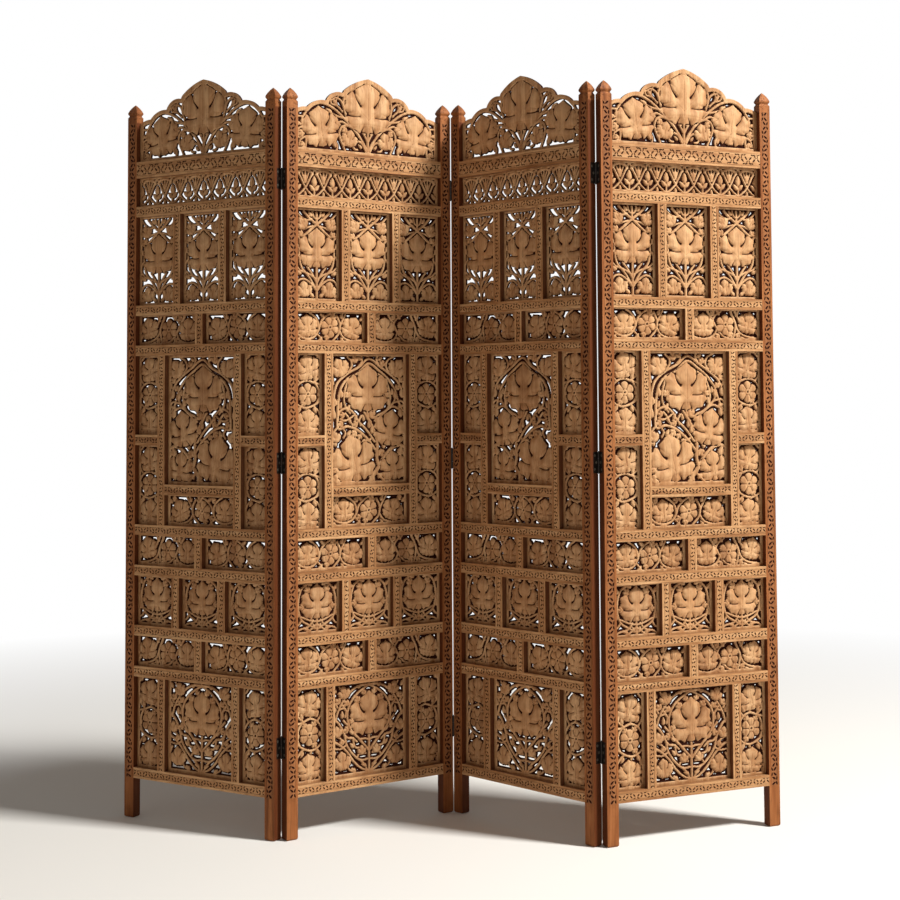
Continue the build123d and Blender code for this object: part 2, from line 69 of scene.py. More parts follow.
# ---- carving in the plane, mm
STEP = 1.55         # grid of the carved surfaces
LAP = 2.0           # a board's size beyond its opening
STEM = 1.05         # how much fuller the stems are than drawn
FULL = 1.06         # and the leaves and flowers
GROUND = -5.8       # height of the ground left round each stem and leaf
EMPTY = -50.0       # stands for no wood at all
GAP = 6.5           # half the width of a gap that gets a small leaf of its own
MOST_FILLS = 60     # and the most such leaves on a board
LEAF_SLANT, PETAL_SLANT = 0.86, 0.88    # distance from a slanting edge for one along the ray
TEETH, TOOTH = 16, 0.030                # teeth round a leaf, and their height as a share of it
TEETH_FROM, TOOTH_AT = 46, 69           # degrees from the tip: their start, and one's middle
VEIN_DEPTH, CUT_DEPTH = 0.5, 3.6
PETALS, PETAL_GAP = 6, 2.4
MARGIN = 4          # grid kept round a mark beyond its own size


def spline(points, per=7):
    """Smooth curve through the points."""
    p = np.array(points, float)
    if len(p) < 3:
        t = np.linspace(0, 1, per)[:, None]
        return p[0] * (1 - t) + p[1] * t
    q = np.vstack([2 * p[0] - p[1], p, 2 * p[-1] - p[-2]])
    t = np.linspace(0, 1, per, endpoint=False)[:, None]
    out = []
    for a, b, c, d in zip(q, q[1:], q[2:], q[3:]):
        out.append(0.5 * (2 * b + (c - a) * t + (2 * a - 5 * b + 4 * c - d) * t ** 2
                          + (3 * b - a - 3 * c + d) * t ** 3))
    out.append(p[-1:])
    return np.vstack(out)


def segment_distance(X, Z, pts, half):
    """Half width minus distance to a polyline whose half width varies along it."""
    best = np.full(X.shape, -1e9)
    for i in range(len(pts) - 1):
        (ax, az), (bx, bz) = pts[i], pts[i + 1]
        dx, dz = bx - ax, bz - az
        n = dx * dx + dz * dz + 1e-9
        t = np.clip(((X - ax) * dx + (Z - az) * dz) / n, 0, 1)
        d = np.hypot(X - ax - t * dx, Z - az - t * dz)
        best = np.maximum(best, half[i] * (1 - t) + half[i + 1] * t - d)
    return best


# one side of each outline: (degrees from the tip, share of the radius)
LEAF5 = (
    (0, 1.0), (6, 0.93), (14, 0.88), (26, 0.86), (38, 0.85), (42, 0.77), (46, 0.88), (56, 0.95),
    (68, 0.99), (84, 0.98), (99, 0.94), (103, 0.85), (107, 0.93), (118, 0.99), (134, 1.0),
    (150, 0.95), (165, 0.90), (180, 0.86))
OPEN5 = (
    (0, 1.0), (6, 0.92), (14, 0.85), (25, 0.81), (35, 0.80), (40, 0.71), (45, 0.82), (54, 0.91),
    (64, 0.98), (76, 0.94), (90, 0.90), (98, 0.88), (102, 0.79), (106, 0.88), (116, 0.97),
    (130, 0.99), (144, 0.92), (158, 0.87), (170, 0.84), (180, 0.80))
LEAF3 = (
    (0, 1.0), (10, 0.90), (24, 0.83), (38, 0.78), (46, 0.66), (54, 0.82), (72, 0.94), (95, 0.92),
    (120, 0.86), (150, 0.80), (180, 0.74))
BUD = ((0, 1.0), (18, 0.72), (45, 0.50), (90, 0.46), (140, 0.60), (180, 0.85))
# gouges between a leaf's lobes, from the edge inwards: points and (wide, thin) half widths
CUTS5 = (
    (((0.60, 0.68), (0.54, 0.50), (0.48, 0.34), (0.38, 0.20), (0.30, 0.10)), (0.030, 0.075)),
    (((1.00, -0.22), (0.80, -0.28), (0.58, -0.31), (0.34, -0.29)), (0.056, 0.040)),
    (((0.28, -0.96), (0.25, -0.80), (0.18, -0.66)), (0.045, 0.022)),
)
OPEN_CUTS = (
    (((0.50, 0.62), (0.48, 0.46), (0.43, 0.31), (0.34, 0.18), (0.25, 0.11)), (0.034, 0.082)),
    (((0.84, -0.18), (0.66, -0.24), (0.48, -0.27), (0.28, -0.26)), (0.058, 0.040)),
    (((0.24, -0.90), (0.22, -0.74), (0.15, -0.60)), (0.045, 0.022)),
)
CUTS3 = (
    (((0.56, 0.54), (0.44, 0.32), (0.30, 0.10)), (0.06, 0.06)),
    (((0.62, -0.66), (0.46, -0.44)), (0.05, 0.03)),
)
# veins, from the foot of the leaf towards its tips
VEINS5 = (((0, -0.62), (0, 0.80)), ((0, -0.40), (0.74, 0.28)), ((0, -0.55), (0.76, -0.62)))
VEINS3 = (((0, -0.5), (0, 0.74)),)
# each kind of leaf: outline, veins, gouges, gap round it, height, and how dished it is
LEAVES = {
    "leaf": (LEAF5, VEINS5, CUTS5, 2.6, 0.0, 1.0),
    "open": (OPEN5, VEINS5, OPEN_CUTS, 2.6, 0.0, 1.0),
    "leaf3": (LEAF3, VEINS3, CUTS3, 2.0, 0.0, 0.6),
    "filler": (LEAF3, VEINS3, CUTS3, 0.0, -0.8, 0.4),
    "bud": (BUD, (), (), 0.0, -0.9, 0.0),
}


class Carving:
    """Signed distance of the wood that is left (positive inside) and its height, on a grid."""

    def __init__(self, w, h, outline=None):
        self.w, self.h = w + LAP, h + LAP
        x, z = (np.arange(n) - (n - 1) / 2 for n in
                (int(math.ceil(self.w / STEP)) + 3, int(math.ceil(self.h / STEP)) + 3))
        self.X, self.Z = np.meshgrid(x * STEP, z * STEP)
        if outline is None:
            self.edge = np.minimum(self.w / 2 - abs(self.X), self.h / 2 - abs(self.Z))
        else:
            self.edge = outline(self.X, self.Z)
        self.sd = np.full(self.X.shape, EMPTY)
        self.top = np.full(self.X.shape, EMPTY)

    def window(self, x, z, r):
        """Part of the grid near a point, so that small marks stay cheap: slices, x and z."""
        i0 = max(0, int((x - r - self.X[0, 0]) / STEP))
        i1 = max(i0 + 1, int((x + r - self.X[0, 0]) / STEP) + 2)
        j0 = max(0, int((z - r - self.Z[0, 0]) / STEP))
        j1 = max(j0 + 1, int((z + r - self.Z[0, 0]) / STEP) + 2)
        win = slice(j0, j1), slice(i0, i1)
        return win, self.X[win], self.Z[win]

    def lay(self, win, sd, top):
        """Add wood: its height counts only where it is wood or right beside it."""
        near = sd > -1.6 * STEP
        self.sd[win] = np.maximum(self.sd[win], sd)
        self.top[win] = np.where(near, np.maximum(self.top[win], top), self.top[win])

    def clear(self, win, inside):
        """Cut back what was laid wherever inside is positive."""
        self.sd[win] = np.minimum(self.sd[win], np.where(inside > 0, -inside, self.sd[win]))
        self.top[win] = np.where(inside > STEP, EMPTY, self.top[win])

    def stem(self, points, w, taper=0.75, top=-1.0):
        """Rounded stem through the points, thinner at its far end."""
        pts = spline(points)
        w = w * STEM
        c = (pts.min(0) + pts.max(0)) / 2
        win, X, Z = self.window(c[0], c[1], np.abs(pts - c).max() + w + MARGIN)
        sd = segment_distance(X, Z, pts, np.linspace(w, w * taper, len(pts)) / 2)
        r = np.clip(sd / (w / 2), 0, 1)
        self.lay(win, sd, top - 1.3 * (1 - r) ** 2)

    def leaf(self, kind, x, z, radius, turn):
        """Lobed leaf. A gap parts it from what was laid before, except at its tips."""
        shape, veins, cuts, gap, top, dish = LEAVES[kind]
        radius = radius * FULL
        win, X, Z = self.window(x, z, radius + gap + MARGIN)
        X, Z = X - x, Z - z
        a = abs((np.degrees(np.arctan2(-X, Z)) - turn + 180) % 360 - 180)
        rho = np.hypot(X, Z)
        edge = np.interp(a, *np.array(shape, float).T) * radius
        saw = TOOTH * radius * np.cos(np.radians(a - TOOTH_AT) * TEETH) * (a > TEETH_FROM)
        sd = (edge + saw - rho) * LEAF_SLANT
        self.clear(win, np.minimum(edge + gap, radius) - rho)
        # it falls by 2 mm over its outer third, rises with its size and is dished in the middle
        r = np.clip(sd / (0.34 * radius), 0, 1)
        rise = min(0.034 * radius, 1.8)
        high = top + rise - (2.0 + rise) * (1 - r) ** 2
        high = high - dish * 1.4 * np.clip(1 - rho / (0.6 * radius), 0, 1)
        # veins, and gouges that each lie in a wider valley, finer on small leaves
        t = math.radians(turn)
        rot = np.array([[math.cos(t), math.sin(t)], [-math.sin(t), math.cos(t)]]) * radius
        bold = min(1.0, 0.3 + radius / 60)
        valley = bold * min(0.8 + 0.036 * radius, 2.6)
        for side in (1, -1):
            flip = np.array([side, 1.0])
            for line in veins if radius > 15 else ():
                d = segment_distance(X, Z, np.array(line) * flip @ rot, (0.9, 0.6))
                high = high - VEIN_DEPTH * np.clip((d + 0.6) / 1.3, 0, 1)
            for path, (wide, thin) in cuts:
                line = spline(np.array(path) * flip, 4) @ rot
                ends = max(wide * radius * bold, 0.9), max(thin * radius * bold, 0.45)
                d = segment_distance(X, Z, line, np.linspace(*ends, len(line)))
                high = high - CUT_DEPTH * np.clip(d / (0.05 * radius + 0.6), 0, 1)
                high = high - valley * np.clip(1 + d / (0.20 * radius + 1.0), 0, 1) ** 2
        self.lay(win, sd, high)

    def flower(self, x, z, radius, turn):
        """Round flower with parted petals, a ring and a drilled middle."""
        radius = radius * FULL
        win, X, Z = self.window(x, z, radius + PETAL_GAP + MARGIN)
        X, Z = X - x, Z - z
        a = np.arctan2(-X, Z) - math.radians(turn)
        rho = np.hypot(X, Z)
        lobe = np.abs(np.cos(a * PETALS / 2))
        edge = radius * (0.70 + 0.30 * lobe ** 0.55)
        sd = (edge - rho) * PETAL_SLANT
        self.clear(win, np.minimum(edge + PETAL_GAP, radius * 1.02) - rho)
        r = np.clip(sd / (0.35 * radius), 0, 1)
        high = -0.2 - 1.6 * (1 - r) ** 2 - 2.6 * (1 - lobe) ** 3 * (rho > 0.3 * radius)
        high = high - 1.0 * np.clip(1 - abs(rho - 0.30 * radius) / (0.10 * radius), 0, 1)
        high = high - 5.0 * np.clip(1.4 - rho / (0.09 * radius), 0, 1)
        self.lay(win, sd, high)

    def strips(self, sd, height):
        """Plain strips, kept whole over what is laid later."""
        self.rim = lambda: self.lay((slice(None), slice(None)), sd, np.full(sd.shape, height))
        self.rim()

    def border(self, side=6.5, bottom=6.0, top=5.0):
        """Plain strips of these widths at a square board's edges."""
        sd = np.maximum(side - (self.w / 2 - abs(self.X)), bottom - (self.h / 2 + self.Z))
        self.strips(np.maximum(sd, top - (self.h / 2 - self.Z)), -1.0)

    def fill(self):
        """Tuck a small leaf into each gap that is wide, the widest first."""
        for _ in range(MOST_FILLS):
            room = np.minimum(-self.sd, self.edge)
            at = np.unravel_index(np.argmax(room), room.shape)
            if room[at] < GAP:
                break
            x, z = self.X[at], self.Z[at]
            self.leaf("filler", x, z, 1.08 * room[at], math.degrees(math.atan2(-x, z)))

    def draw(self, marks):
        """Lay stems first and then leaves and flowers, so that the leaves stay whole. Then fill
        the gaps, lay the strips again, and leave low ground where nothing is carved."""
        for kind, points, size in marks:
            if kind == "stem":
                self.stem(points, *size)
        for kind, points, size in marks:
            if kind == "flower":
                self.flower(*points[0], *size)
            elif kind != "stem":
                self.leaf(kind, *points[0], *size)
        self.fill()
        self.rim()
        self.top = np.where(self.sd > -0.35 * STEP, self.top, GROUND)
        return self


def stems(*rows):
    """Marks of stems. A row is (width, x, z, x, z, ...), with (width, taper, height) for width
    where these aren't the usual ones."""
    return [("stem", list(zip(xz[::2], xz[1::2])), size if isinstance(size, tuple) else (size,))
            for size, *xz in rows]


def each(kind, *rows):
    """Marks of one kind of leaf, bud or flower. A row is (x, z, radius, turn)."""
    return [(kind, [(x, z)], (radius, turn)) for x, z, radius, turn in rows]


def fitted(marks, sx=1, sz=1, dz=0):
    """Marks stretched by sx and sz and then lifted by dz. A negative sx mirrors them."""
    spin = -1 if sx < 0 else 1
    return [(kind, [(x * sx, z * sz + dz) for x, z in points],
             size if kind == "stem" else (size[0], size[1] * spin))
            for kind, points, size in marks]


def both(marks):
    """Marks and their mirror images, in pairs."""
    return [mark for pair in zip(marks, fitted(marks, -1)) for mark in pair]


# ---- the boards' designs. Later leaves and flowers cut into earlier ones
TALL_MARKS = both(stems(
    (5.2, -36, 104, -22, 90, 0, 74, 22, 56, 42, 38, 48, 14, 48, -8, 42, -32, 22, -54, 4, -80),
    (4.4, 0, -68, -12, -48, -26, -30), (4, 0, -60, -20, -48, -44, -40, -56, -30),
    (4.4, 0, -88, -14, -72, -34, -60, -50, -64, -58, -78),
    (4, -14, 86, -30, 84, -46, 92, -56, 104), (4, -44, 34, -54, 44, -58, 58),
    (3.6, -40, 60, -24, 66, -10, 70), (3.6, -48, 0, -56, -8, -58, -20),
    (3.6, -12, 104, -8, 92, 0, 86)
) + each("leaf3", (-40, 74, 16.5, 35), (-34, -86, 21, 8)) + each("bud",
    (-50, -44, 9, 60), (-14, -98, 9, 50), (-18, 98, 8, 40), (-54, 22, 8, 20), (-54, -100, 8, 60)
)) + stems((6, 0, -108, 0, -80, 0, -24), (4.6, 0, 74, 0, 104)) + each("open", (0, 13, 50, 0))

SQUARE_MARKS = both(stems(
    (4.8, -30, 56, -44, 44, -51, 20, -51, -4, -42, -28, -20, -42, 0, -52),
    (4, 0, -34, -20, -30, -44, -20), (4.2, 0, -40, -14, -50, -30, -60),
    (4, -42, -28, -50, -38, -58, -42), (3.6, -51, 10, -58, 18, -60, 30),
    (4.2, -8, -26, -22, -44, -46, -50, -58, -58)
) + each("bud",
    (-30, -50, 9, 70), (-54, -14, 8, 10), (-52, 46, 9, 40), (-8, -46, 8, 20), (-20, 56, 8, 70)
)) + stems((5.4, 0, -60, 0, -24)) + each("open", (0, 11, 43, 0))

# the two kinds of landscape board
STRIP_MARKS = (stems(
    (4.8, -94, -12, -82, -24, -60, -29, -42, -22, -31, -6, -25, 12, -12, 26, 0, 33),
    (4.8, 20, 28, 29, 6, 24, -16, 10, -31), (4.2, 28, 2, 36, 18, 44, 32),
    (4.2, 27, -8, 38, -24, 58, -31, 90, -30), (4.2, -31, -6, -34, 14, -44, 27, -56, 34),
    (4, -36, -16, -26, -26, -20, -34), (3.6, -94, 30, -86, 18, -90, 4)
) + each("leaf", (-63, 2, 27.5, 4), (63, -1, 28, -24)) + each("flower", (0, 0, 23.5, 10)
) + each("bud",
    (-20, 28, 8, 60), (-26, -30, 8, -30), (34, -30, 7, 30), (34, 28, 8, -20), (-88, -30, 8, 60),
    (90, 22, 7, -30)
), stems(
    (4.8, -50, 33, -36, 12, -24, -8, -8, -26, 10, -33), (4.2, -36, 12, -27, 24, -12, 33),
    (5, 16, 33, 27, 10, 36, -12, 56, -26, 94, -32), (4, 30, -2, 27, -20, 22, -34),
    (4.2, 28, 33, 40, 12, 44, -8), (4.2, -94, -14, -90, -28, -60, -34, -34, -26, -24, -10),
    (3.6, -94, 30, -88, 16, -92, 2)
) + each("leaf", (-62, -1, 28.5, 0), (66, 5, 27, -12)) + each("flower", (0, 1, 23.5, 0)
) + each("bud",
    (-20, 30, 8, 40), (34, 28, 8, -30), (92, -16, 8, 20), (-34, -31, 8, 60), (50, -32, 7, 60)
))

NARROW_MARKS = stems(
    (4.4, -36, 24, -18, 27, 4, 33, 24, 25, 36, 10), (4.6, 4, 33, 2, 44),
    (4.4, -36, -14, -16, -27, 6, -33, 24, -28, 36, -18), (4.6, 6, -33, 4, -44),
    (4.4, -20, 26, -29, 12, -31, -6, -24, -22), (4, 22, 26, 32, 38, 37, 52),
    (4, -14, 28, -28, 38, -36, 50), (4, -14, -28, -28, -40, -36, -54),
    (4, 20, -29, 32, -42, 36, -56), (3.8, -36, 86, -26, 92, -18, 100),
    (3.8, 36, 84, 28, 90, 20, 100), (3.8, -30, -76, -34, -88, -26, -98),
    (3.8, 30, -76, 34, -88, 26, -98)
) + each("leaf", (0, 64, 31, -16), (1, -68, 31, 6)) + each("flower", (1, 0, 24, 0)) + each("bud",
    (-30, 0, 8, 0), (-32, -88, 8, 10), (31, -46, 9, 0), (-31, 46, 9, 0), (-20, 40, 9, 20),
    (22, 41, 9, -30), (-19, -39, 8, 150), (24, -38, 8, 210), (30, 0, 7, 0), (-30, 92, 7, 60),
    (30, -92, 7, 40)
)

# a pointed arch of stems
WINDOW_MARKS = stems(
    (5.2, -100, 20, -98, 60, -88, 88, -62, 110, -26, 128, 2, 148, 36, 128, 70, 106, 92, 84, 104,
     56),
    (5.2, -88, -4, -86, 40, -80, 72, -62, 96, -30, 112, 0, 136, 30, 120, 58, 98, 78, 72, 88, 44,
     100, 20),
    (4.8, 22, 114, 46, 98, 60, 74, 64, 48, 56, 24, 34, 6, 18, -4),
    (4.6, -54, 100, -66, 74, -70, 48, -64, 28, -52, 14)
)
# its corners
WINDOW_MARKS += stems(
    (4.4, -62, 112, -48, 128, -50, 142, -60, 152), (4.4, 62, 112, 52, 130, 58, 146, 74, 154),
    (4, -26, 130, -18, 142, -20, 156), (4, 30, 134, 24, 146, 28, 156),
    (4, -100, 86, -104, 104, -108, 118), (4, 100, 80, 106, 96, 108, 112)
) + each("leaf3", (-80, 124, 25, 30), (83, 124, 25, -32)) + each("bud",
    (-24, 148, 8, 60), (34, 148, 8, -60), (-2, 156, 6, 90)
)
# trunk and branches
WINDOW_MARKS += stems(
    ((10, 0.5, -0.4), 2, -158, 14, -138, 30, -118, 44, -96, 70, -72, 94, -66, 108, -74),
    ((7, 0.6, -0.6), 30, -118, 24, -92, 26, -66, 22, -42, 10, -16, -8, 10, -16, 24),
    (5.2, 22, -78, -2, -50, -30, -28, -60, -18, -84, -24, -90, -6, -82, 18, -62, 26, -44, 16, -28,
     -6, -4, -28, 18, -56),
    (5, 24, -64, 34, -38, 22, -14, 24, 6, 46, 16), (4.8, 46, 16, 70, 30, 92, 22, 106, 6),
    (4.4, 56, 24, 74, 40, 80, 56), (4, 74, 40, 96, 44, 106, 34),
    (4, -80, 0, -68, -4, -52, 2, -38, 12), (4, -66, 14, -56, 2, -46, -16),
    (4, -20, 8, -26, -4, -22, -16), (4, -4, 22, 0, 4, 8, -8), (4.4, 6, -60, -12, -52, -18, -60),
    (4, 6, -50, -14, -64, -6, -76), (4.2, -90, -22, -100, -34, -104, -48),
    (4.2, -74, -22, -66, -34, -72, -46), (4.4, 70, -72, 82, -62, 96, -54),
    (4.2, 94, -66, 100, -82, 106, -92), ((6, 0.7, -0.6), 20, -130, 34, -142, 50, -158),
    (4.6, 8, -148, -2, -132, -8, -118), (4.2, 58, -84, 48, -96, 44, -110)
) + each("bud",
    (-54, -4, 8, 30), (-36, 2, 8, -20), (-14, 2, 8, 10), (2, -16, 8, 10), (78, 58, 11, 20),
    (94, 30, 9, -70), (-78, 62, 11, 10), (-80, 32, 9, -20), (-96, -58, 10, 20), (46, -66, 9, -20),
    (70, 66, 8, 0), (-94, 40, 9, 0), (12, -146, 9, 60), (-56, -36, 9, -30)
)
# leaves, the large ones last
WINDOW_MARKS += each("leaf3", (-93, -45, 14, 20), (-93, -147, 13, 0)) + each("bud",
    (93, -82, 14, -20), (94, 14, 12, 10), (98, 62, 11, 10), (60, 40, 10, 10), (-58, 26, 10, -30),
    (-98, 10, 11, 0), (10, -28, 9, 10), (100, -44, 9, 0), (34, -140, 10, -50)
) + each("open", (-2, 71, 59, 0), (62, -26, 46, -10), (-42, -100, 60, 12), (72, -118, 38, 8))

LOW_MARKS = both(stems(
    (4.8, 0, -56, -28, -26, -52, 0, -62, 30, -56, 58, -38, 80, -14, 96, 0, 102),
    (4.8, 0, 104, -36, 100, -66, 78, -86, 50, -96, 22),
    (4.8, -100, 30, -84, 14, -70, -12, -64, -36, -48, -58, -26, -76, 0, -76),
    (4.8, -104, -24, -84, -34, -62, -54, -42, -80, -20, -98, 0, -104),
    (4.4, -72, 22, -62, 12, -52, 0), (4.2, -64, 44, -72, 52, -84, 50),
    (4, -76, 60, -66, 46, -68, 30), (4.2, -70, -12, -60, -20, -46, -22, -34, -32),
    (4.2, -46, -22, -40, -44, -22, -46), (4, -64, -36, -80, -44, -98, -42),
    (4, -60, 84, -76, 92, -84, 104), (4, -90, 56, -98, 68, -104, 84),
    (4, -26, -76, -14, -88, -6, -102), (4, -10, -62, -26, -60, -34, -68),
    (4, -50, -70, -62, -82, -56, -96, -40, -104), (4, -96, -52, -102, -68, -104, -84),
    (4, 0, -30, -14, -26, -26, -26), (4, -100, 2, -92, -12, -80, -20)
) + each("leaf3", (-70, 88, 17, 20), (-76, -76, 24, 6), (-90, -4, 14, 10), (-21, -54, 12, 0)
) + each("bud",
    (-50, -8, 8, 50), (-76, 36, 9, 0), (-14, -90, 8, 70), (-98, 52, 9, 20), (-48, -40, 8, 40),
    (-98, 98, 9, 40), (-30, 100, 7, 80), (-44, -98, 8, 60)
)) + stems((5.4, 0, -108, 0, -56, 0, -14)) + each("open", (0, 31, 54, 0))

CREST_MARKS = both(stems(
    (5.2, 0, 12, -18, 38, -36, 62, -58, 88, -69, 116, -68, 140, -54, 156, -30, 170, -14, 182),
    (5.2, -30, 54, -58, 80, -86, 103, -111, 117, -139, 121, -164, 109, -183, 86, -188, 70, -181,
     48, -176, 24, -178, 8),
    (4.4, -58, 88, -84, 92, -104, 98, -118, 108),
    (4.8, -36, 64, -60, 72, -76, 66, -82, 50, -76, 30, -66, 10),
    (4.2, -60, 74, -76, 80, -92, 74, -98, 60),
    (4.4, -6, 12, -18, 30, -32, 36, -42, 28, -40, 16, -30, 14), (4.4, 0, 34, -10, 52, -20, 64),
    (4.2, -69, 116, -78, 132, -92, 138, -104, 132), (4, -74, 106, -88, 118, -104, 122, -108, 134),
    (3.8, -88, 118, -92, 130, -86, 142), (4, -186, 60, -198, 52, -202, 38, -194, 30),
    (4, -180, 34, -192, 26, -196, 12), (3.6, -150, 118, -158, 128, -150, 134),
    (4, -184, 82, -196, 84, -206, 78), (4.2, -96, 32, -88, 20, -90, 8)
) + each("leaf", (-135, 61, 50, 8)) + each("leaf3", (-53, 38, 23, -14)) + each("bud",
    (-88, 74, 11, 70), (-96, 22, 9, 20), (-96, 128, 9, 40), (-22, 22, 7, 40), (-10, 60, 8, 20),
    (-196, 66, 8, 60), (-62, 160, 7, 50), (-70, 24, 7, -20), (-110, 104, 8, 60)
)) + stems((5.6, 0, 8, 0, 70)) + each("leaf", (0, 117, 64, 0))

CREST_RIM, CREST_FOOT = 9.0, 4.5        # widths of the crest's plain strips
ARC_POINTS = 10                         # on each arc of its edge
BAYS, BAYS_W = 8, 408                   # of the lattice


def lattice_marks():
    """Bays of crossing laths, an arch with a hanging bud in each, a bell flower between them."""
    p = BAYS_W / BAYS
    marks = []
    for k in range(-1, BAYS + 1):
        a = (k - BAYS / 2) * p
        lath = [(a + 1, 33), (a + p * 0.25, 11), (a + p * 0.5, -12), (a + p * 0.74, -25),
                (a + p, -34)]
        marks += [("stem", pts, (3.4, 1.0, 0.0))
                  for pts in (lath, [(2 * a + p - x, z) for x, z in lath])]
    for k in range(BAYS):
        m = (k + 0.5 - BAYS / 2) * p
        marks += stems(
            ((5.4, 1.0, -0.2), m - 20, 21, m - 14, 28, m, 31, m + 14, 28, m + 20, 21),
            (3.2, m, 30, m, 16), ((2.6, 0.8), m - 9, 24, m - 5, 12, m - 1, 0),
            ((2.6, 0.8), m + 9, 24, m + 5, 12, m + 1, 0))
        marks += each("bud", (m, 12, 9.5, 180), (m, -27, 6.5, 0))
    for k in range(BAYS + 1):
        m = (k - BAYS / 2) * p
        marks += stems((4.0, m, -34, m, -14))
        marks += each("bud", (m, 3, 13, 0), (m - 7, -12, 9.5, 42), (m + 7, -12, 9.5, -42))
    return marks


def board(w, h, marks, **edges):
    """Carved board for an opening of this size, with plain strips at its edges."""
    c = Carving(w, h)
    c.border(**edges)
    return c.draw(marks)


def arc3(a, b, c):
    """Points of the arc through three points."""
    p = np.array([a, b, c])
    mid = np.linalg.solve(2 * np.diff(p, axis=0), np.diff((p * p).sum(1)))
    turns = np.unwrap(np.arctan2(*(p - mid).T[::-1]))
    t = np.linspace(turns[0], turns[2], ARC_POINTS)[:, None]
    return list(mid + np.hypot(*(a - mid)) * np.hstack([np.cos(t), np.sin(t)]))


def crest_outline():
    """The crest's edge as a closed loop. Its right half runs from the apex down to the post in
    arcs and two straight shoulders, given as shares of the crest's half width and height."""
    ends = ((0.0, 1.0), (0.335, 0.82), (0.352, 0.785), (0.572, 0.69), (0.582, 0.665),
            (0.84, 0.56), (1.0, SIDE_CREST / CREST_H))
    tops = ((0.17, 0.937), None, (0.475, 0.778), None, (0.72, 0.648), (0.925, 0.55))
    size = np.array([INNER / 2, CREST_H])
    pts = []
    for i, top in enumerate(tops):
        a, b = np.array(ends[i]) * size, np.array(ends[i + 1]) * size
        pts += [a, b] if top is None else arc3(a, top * size, b)
    side = (INNER + LAP) / 2
    pts += [(side, SIDE_CREST), (side, -LAP / 2)]
    return np.array(pts + [(-x, z) for x, z in reversed(pts)] + pts[:1])


def crest_inside(X, Z):
    """Distance inside the crest's edge, negative outside it."""
    Z = Z + CREST_MID
    loop = crest_outline()
    dist = -segment_distance(X, Z, loop, np.zeros(len(loop)))
    inside = np.zeros(X.shape, bool)
    for (ax, az), (bx, bz) in zip(loop, loop[1:]):
        if abs(bz - az) > 1e-9:
            inside ^= ((az > Z) != (bz > Z)) & (X < ax + (Z - az) * (bx - ax) / (bz - az))
    return np.where(inside, dist, -dist)


def crest_board():
    c = Carving(INNER, CREST_H, crest_inside)
    c.strips(np.maximum(CREST_RIM - c.edge, CREST_FOOT - (c.Z + CREST_MID)), -0.5)
    return c.draw(fitted(CREST_MARKS, dz=-CREST_MID))


# ---- meshes from carvings
def cell_cases():
    """Polygon and wall pairs of every cell case, as places in the corner order, which goes round
    a cell: corner, crossing, corner, crossing and so on. Even places are corners."""
    cases = {}
    for bits in range(1, 16):
        inside = [bool(bits >> k & 1) for k in range(4)]
        poly = []
        for k in range(4):
            if inside[k]:
                poly.append(2 * k)
            if inside[k] != inside[(k + 1) % 4]:
                poly.append(2 * k + 1)
        walls = [(p, q) for p, q in zip(poly, poly[1:] + poly[:1]) if p % 2 and q % 2]
        cases[bits] = (poly, walls)
    return cases


CASES = cell_cases()
WHOLE = 15                  # the case of a cell with wood at all four corners
EDGE_DROP = 0.3             # how much lower the wood is at its very edge
LEAST_THICK = 1.0           # of a carved board
# recess of the flat back and of the hole walls, which the material darkens with stain and painted
# shade
BACK_RECESS, WALL_RECESS = 0.12, 0.55


class Sheaf:
    """Vertices and polygons gathered for one mesh, with the recess and tone of each vertex."""

    def __init__(self):
        self.co, self.recess, self.tone, self.faces, self.n = [], [], [], [], 0

    def add(self, co, recess, tone):
        """Add vertices and give the number of the first."""
        first = self.n
        self.co.append(np.asarray(co, float))
        self.recess.append(np.broadcast_to(np.asarray(recess, float), (len(co),)))
        self.tone.append(np.full(len(co), tone))
        self.n += len(co)
        return first

    def poly(self, index, first=0):
        """Add faces of equal size, one row each."""
        if len(index):
            self.faces.append(np.asarray(index, np.int64) + first)

    def build(self, name, mirror=None):
        """Blender mesh in metres. mirror is the x about which it is turned left for right."""
        co = np.vstack(self.co)
        faces = self.faces
        if mirror is not None:
            co[:, 0] = 2 * mirror - co[:, 0]
            faces = [f[:, ::-1] for f in faces]
        mesh = bpy.data.meshes.new(name)
        mesh.vertices.add(len(co))
        mesh.vertices.foreach_set("co", (co * 0.001).astype(np.float32).ravel())
        sizes = np.concatenate([np.full(len(f), f.shape[1]) for f in faces])
        loops = np.concatenate([f.ravel() for f in faces])
        starts = np.concatenate([[0], np.cumsum(sizes)[:-1]])
        mesh.loops.add(len(loops))
        mesh.loops.foreach_set("vertex_index", loops.astype(np.int32))
        mesh.polygons.add(len(sizes))
        mesh.polygons.foreach_set("loop_start", starts.astype(np.int32))
        mesh.polygons.foreach_set("use_smooth", np.ones(len(sizes), bool))
        for key, values in (("recess", self.recess), ("tone", self.tone)):
            attr = mesh.attributes.new(key, "FLOAT", "POINT")
            attr.data.foreach_set("value", np.concatenate(values).astype(np.float32))
        mesh.update(calc_edges=True)
        mesh.validate()
        return mesh


def soft(a, n):
    """Mean over a square of 2n + 1 cells."""
    for _ in range(2):      # down the columns, and then, turned over, along the rows
        total = np.cumsum(np.pad(a, ((n, n), (0, 0)), mode="edge"), axis=0)
        total = np.insert(total, 0, 0, axis=0)
        a = ((total[2 * n + 1:] - total[:-2 * n - 1]) / (2 * n + 1)).T
    return a


def numbered(mask, first):
    """Running numbers from first where the mask is set, and the next free number."""
    index = np.full(mask.shape, -1)
    index[mask] = first + np.arange(mask.sum())
    return index, first + int(mask.sum())


